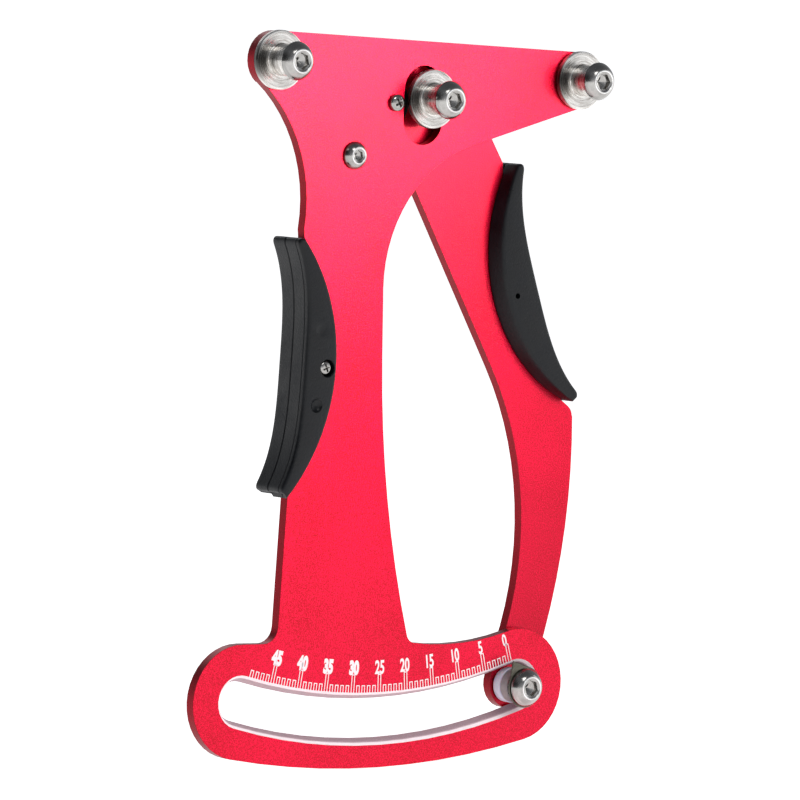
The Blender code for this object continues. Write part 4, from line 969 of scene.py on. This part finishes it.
def makeSpring():
    k = springShape
    low, high = boxOf("return_spring")
    depth = (low[1] + high[1]) / 2
    ends = []
    for node in ("spring_post", "spring_pin"):
        x, z = axisOf(node)
        ends.append(Vector((x, depth, z)))
    path = bpy.data.meshes.new("springPath")
    points = springPath(*ends)
    path.from_pydata(points, [(i, i + 1) for i in range(len(points) - 1)], [])
    mesh = growMesh(wireTree(), {"Wire radius": k["wire"], "Sides": k["sides"], "Finish": wireFinish}, path)
    piece = finishMesh("returnSpring", mesh, [wireFinish], 40)
    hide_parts("return_spring")
    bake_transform(piece)
    neckFront, neckBack = depth - k["wire"] - k["seat"], depth + k["wire"] + k["seat"]
    p = spoolShape
    for name, node, body, isPost in (("springPost", "spring_post", "frame", True),
                                     ("springPin", "spring_pin", "lever", False)):
        low, high = boxOf(node)
        wide = (high[0] - low[0]) / 2
        if isPost:
            foot = [(0.0, neckFront), (p["postBore"], neckFront), (p["postBore"], low[1]), (wide, low[1])]
        else:
            shoulder = low[1] + p["pinFootLength"]
            foot = [(0.0, low[1]), (p["pinFoot"], low[1]), (p["pinFoot"], shoulder), (wide, shoulder)]
        neck = k["neck"] + (p["postNeckMore"] if isPost else 0.0)
        profile = rounded(foot + [(wide, neckFront), (neck, neckFront), (neck, neckBack), (wide, neckBack),
                                  (wide, high[1]), (0.0, high[1])], p["edge"])
        zinc = latheSteel(name + "Zinc", "zinc", axisOf(node))
        makePiece(name, turned(profile, axisOf(node), 64), [zinc], body, [node], 30)


makeSpring()
print("spring made")


# One crescent moulding in two halves, given by its chord and how far its two sides stand from that chord
gripShape = {"length": 68.9, "halfDepth": 6.4, "hollow": 5.95, "power": 3.4, "corner": 2.3, "belly": 13.4,
             "tip": 1.6, "swell": 2.0, "level": 1.75, "round": 0.95, "bellyRound": 0.75, "steps": 72,
             "heels": (0.5, 1.2), "seamShift": 0.5, "seamGap": 0.125, "seamEdge": 0.18, "firstRing": 0.6,
             "groove": 0.2, "grooveFrom": 1.3, "grooveTo": 0.85, "grooveSlope": 0.12, "seat": 7.8,
             "seatGap": 0.25, "seatSteps": 60, "run": 4.0, "clear": 40.0, "screwAlong": 34.6, "hole": 1.15,
             "holeFrom": 9.0, "blindHole": 0.8, "blindDepth": 1.2, "bore": 2.35, "boreDepth": 2.05,
             "chamfer": (0.4, 0.2), "dishAcross": 9.1, "dishes": ((-10.2, 1.75, 0.14), (10.2, 1.95, 1.0))}
gripPlaces = {
    "left": {"top": (-35.66, -35.0), "lean": 5.14, "side": 1, "middle": 1.5, "screw": -1, "body": "frame",
             "above": (-2.2, 4.4), "below": (70.8, 5.1), "start": -1.25},
    "right": {"top": (43.49, -18.02), "lean": 16.6, "side": -1, "middle": 5.5, "screw": 1, "body": "lever",
              "above": (-1.1, 3.1), "below": (68.8, 2.4), "start": -1.45},
}


def gripPoint(place, u, v):  # u runs down the chord from the top tip, v across it towards the belly
    lean, side = math.radians(place["lean"]), place["side"]
    return (place["top"][0] - side * (u * math.sin(lean) - v * math.cos(lean)),
            place["top"][1] - u * math.cos(lean) - v * math.sin(lean))


def gripRing(place, heel, bulge, hollowInset, bellyInset):
    g = gripShape
    sagitta = g["belly"] + bulge
    radius = g["length"] ** 2 / (8 * sagitta) + sagitta / 2
    hollow, belly = [], []
    for i in range(g["steps"] + 1):
        share = (1 - math.cos(math.pi * i / g["steps"])) / 2
        u = bellyInset + (g["length"] - 2 * bellyInset) * share
        past = max(0.0, g["corner"] - min(u, g["length"] - u))
        corner = g["corner"] - math.sqrt(g["corner"] ** 2 - past ** 2)
        dip = place["start"] + g["hollow"] * (1 - abs(2 * u / g["length"] - 1) ** g["power"]) + corner
        crown = g["tip"] + math.sqrt(radius ** 2 - (u - g["length"] / 2) ** 2) - (radius - sagitta)
        hollow.append(gripPoint(place, u, dip + hollowInset))
        belly.append(gripPoint(place, u + heel * share ** 4, crown - bellyInset))
    return hollow + belly[::-1]


def crescent(rings):  # a loft whose two ends are closed by strips that run across the crescent
    bm, rows = skin(rings)
    for row in (rows[0], rows[-1]):
        for i in range(len(row) // 2 - 1):
            bm.faces.new((row[i], row[i + 1], row[-2 - i], row[-1 - i]))
    return bm


# The room for the plate: everything on the belly's side of an arc through three points
def seatOutline(place):
    g = gripShape
    through = (place["above"], (g["length"] / 2, g["seat"]), place["below"])
    a, b, c = (Vector(gripPoint(place, *uv)) for uv in through)
    ab, ac = b - a, c - a
    cross = 2 * (ab.x * ac.y - ab.y * ac.x)
    middle = a + Vector((ac.y * ab.dot(ab) - ab.y * ac.dot(ac),
                         ab.x * ac.dot(ac) - ac.x * ab.dot(ab))) / cross
    reach = (middle - a).length - g["seatGap"]
    arc = []
    for i in range(g["seatSteps"] + 1):
        u = -g["run"] + (g["length"] + 2 * g["run"]) * i / g["seatSteps"]
        arc.append(tuple(middle + (Vector(gripPoint(place, u, 0.0)) - middle).normalized() * reach))
    return arc + [gripPoint(place, u, g["clear"]) for u in (g["length"] + g["run"], -g["run"])]


def gripBody(place, facing, isScrewed):
    g = gripShape
    seam = facing * -place["screw"] * g["seamShift"] + g["seamGap"]
    wall = g["halfDepth"] - g["round"]
    first, slope = seam + g["firstRing"], g["grooveSlope"]
    path = [(seam, g["seamEdge"], g["seamEdge"]), (seam + g["seamEdge"], 0.0, 0.0)]
    path += [(first + (wall - g["grooveFrom"] - seam - g["firstRing"]) * i / 5, 0.0, 0.0) for i in range(6)]
    sunk = g["groove"] if isScrewed else 0.0
    path += [(wall - g["grooveFrom"] + slope, sunk, 0.0), (wall - g["grooveTo"] - slope, sunk, 0.0),
             (wall - g["grooveTo"], 0.0, 0.0), (wall, 0.0, 0.0)]
    for i in range(1, 8):
        a = math.radians(90 * i / 7)
        turn = 1 - math.cos(a)
        path.append((wall + g["round"] * math.sin(a), g["round"] * turn, g["bellyRound"] * turn))
    rings = []
    for depth, hollowInset, bellyInset in path:
        share = max(0.0, (depth - g["level"]) / (g["halfDepth"] - g["level"]))
        ring = gripRing(place, g["heels"][isScrewed], g["swell"] * (1 - share), hollowInset, bellyInset)
        rings.append([(x, place["middle"] + facing * depth, z) for x, z in ring])
    return crescent(rings)


def makeGripHalf(sideName, halfName, facing):
    g, place = gripShape, gripPlaces[sideName]
    isScrewed = facing == place["screw"]
    middle, face = place["middle"], place["middle"] + facing * g["halfDepth"]
    cutters = [prism(seatOutline(place), middle - g["level"], middle + g["level"])]
    tube = [(0.0, middle - facing * g["holeFrom"]), (g["hole"], middle - facing * g["holeFrom"])]
    if isScrewed:  # the screw's hole with a bore for its head
        seat = face - facing * g["boreDepth"]
        wider, deep = g["bore"] + g["chamfer"][0], facing * g["chamfer"][1]
        tube += [(g["hole"], seat), (g["bore"], seat), (g["bore"], face - deep), (wider, face + deep),
                 (wider, face + facing), (0.0, face + facing)]
    else:  # a pilot hole that comes out as a pinhole
        seat = face - facing * g["blindDepth"]
        tube += [(g["hole"], seat), (g["blindHole"], seat), (g["blindHole"], face + facing),
                 (0.0, face + facing)]
    cutters.append(turned(tube, axisOf(sideName + "_grip_screw"), 48))
    for shift, radius, depth in g["dishes"] if isScrewed else ():
        ball = (radius ** 2 + depth ** 2) / (2 * depth)
        bowl = [(0.0, face - facing * depth)]
        for i in range(1, 13):
            a = math.asin(radius * 1.02 / ball) * i / 12
            bowl.append((ball * math.sin(a), face + facing * (ball - depth - ball * math.cos(a))))
        bowl.append((0.0, face + facing * 1.0))
        cutters.append(turned(bowl, gripPoint(place, g["screwAlong"] + shift, g["dishAcross"]), 48))
    mesh = cutAway(gripBody(place, facing, isScrewed), cutters)
    makePiece(sideName + "Grip" + halfName, mesh, [gripFinish], place["body"],
              [sideName + "_grip_" + halfName.lower()], 34)


for sideName in gripPlaces:
    makeGripHalf(sideName, "Front", -1)
    makeGripHalf(sideName, "Back", 1)
print("grips made")


cameraSet = {"fromPivot": (-1156.6, -1505.4, 98.1), "azimuth": -37.57, "elevation": 5.39, "lens": 315.0,
             "sensor": 36.0}
# Soft boxes: where each hangs from the pivot, what it faces, its size, and how bright its face is
lightSet = {
    "plateBox": {"at": (215, -400, 88), "aim": (-10, 0, 10), "size": (260, 300), "glow": 9.0,
                 "only": "plates"},
    "keyBox": {"at": (-150, -1000, 950), "aim": (0, 0, -60), "size": (520, 420), "glow": 4.0},
    "frontFill": {"at": (-500, -1500, 300), "aim": (0, 0, -80), "size": (1200, 900), "glow": 1.8,
                  "matt": True},
    "leftBox": {"at": (-640, 760, 60), "aim": (0, 0, -80), "size": (320, 620), "glow": 0.55},
    "rightBox": {"at": (700, -260, 60), "aim": (0, 0, -60), "size": (260, 520), "glow": 1.4},
    "backBox": {"at": (200, 900, 350), "aim": (0, 0, -80), "size": (600, 500), "glow": 1.2},
}
studio = {"floor": "#F4F4F4", "floorGlow": 0.92, "floorHalf": 40000.0, "leftShade": 0.12,
          "shade": (-0.9, -0.55),
          "sky": ((-1.0, "#FFFFFF"), (0.02, "#FAFAFC"), (0.16, "#C6C9CE"), (0.42, "#84868A"),
                  (1.0, "#606266"))}


def makeFloor():
    floor = bmesh.new()
    half = studio["floorHalf"]
    drop = boxOf("scale_plate")[0][2]
    corners = ((-half, -half), (half, -half), (half, half), (-half, half))
    floor.faces.new([floor.verts.new((x, y, drop)) for x, y in corners])
    material = newMaterial("paleFloor", Roughness=0.9, Base_Color=linear(studio["floor"]),
                           Emission_Color=(1, 1, 1, 1), Emission_Strength=studio["floorGlow"])[0]
    finishMesh("floor", meshFrom(floor), [material], 30)


def makeSky():  # white below, greyer overhead, and dim to the left, where the studio is dark
    world = bpy.data.worlds.new("studio")
    world.use_nodes = True
    sky = world.node_tree
    towards = addNode(sky, "ShaderNodeTexCoord").outputs["Generated"]
    parts = addNode(sky, "ShaderNodeSeparateXYZ", {0: towards}).outputs
    share = addNode(sky, "ShaderNodeMapRange", {"Value": parts[2], 1: -1.0, 2: 1.0}).outputs[0]
    ramp = addNode(sky, "ShaderNodeValToRGB", {0: share})
    stops = ramp.color_ramp.elements
    for k, (height, tone) in enumerate(studio["sky"]):
        stop = stops[k] if k < 2 else stops.new(1.0)
        stop.position = (height + 1) / 2
        stop.color = linear(tone)
    dark, clear = studio["shade"]
    dim = addNode(sky, "ShaderNodeMapRange",
                  {"Value": parts[0], 1: dark, 2: clear, 3: studio["leftShade"], 4: 1.0})
    sky.links.new(ramp.outputs[0], sky.nodes["Background"].inputs[0])
    sky.links.new(dim.outputs[0], sky.nodes["Background"].inputs[1])
    bpy.context.scene.world = world


def hangLights():
    for name, light in lightSet.items():
        lamp = bpy.data.lights.new(name, "AREA")
        lamp.shape = "RECTANGLE"
        lamp.size, lamp.size_y = light["size"][0] * mm, light["size"][1] * mm
        lamp.energy = light["glow"] * math.pi * lamp.size * lamp.size_y
        holder = addObject(name, lamp)
        holder.visible_camera = False
        holder.visible_glossy = not light.get("matt", False)
        if light.get("only") == "plates":
            lit = bpy.data.collections.new("plates")
            for plate in ("scalePlate", "leverPlate"):
                lit.objects.link(bpy.data.objects[plate])
            holder.light_linking.receiver_collection = lit
        place, aim = (origin + Vector(light[key]) * mm for key in ("at", "aim"))
        facing = (place - aim).to_track_quat("Z", "Y").to_matrix().to_4x4()
        holder.matrix_world = Matrix.Translation(place) @ facing


def placeCamera():
    camera = bpy.data.cameras.new("camera")
    camera.lens = cameraSet["lens"]
    camera.sensor_width = cameraSet["sensor"]
    camera.clip_end = 100.0
    eye = addObject("camera", camera)
    eye.location = origin + Vector(cameraSet["fromPivot"]) * mm
    eye.rotation_euler = (math.radians(90 - cameraSet["elevation"]), 0, math.radians(cameraSet["azimuth"]))
    bpy.context.scene.camera = eye
    bpy.context.scene.view_settings.view_transform = "Standard"


makeFloor()
makeSky()
hangLights()
placeCamera()
print("studio made")
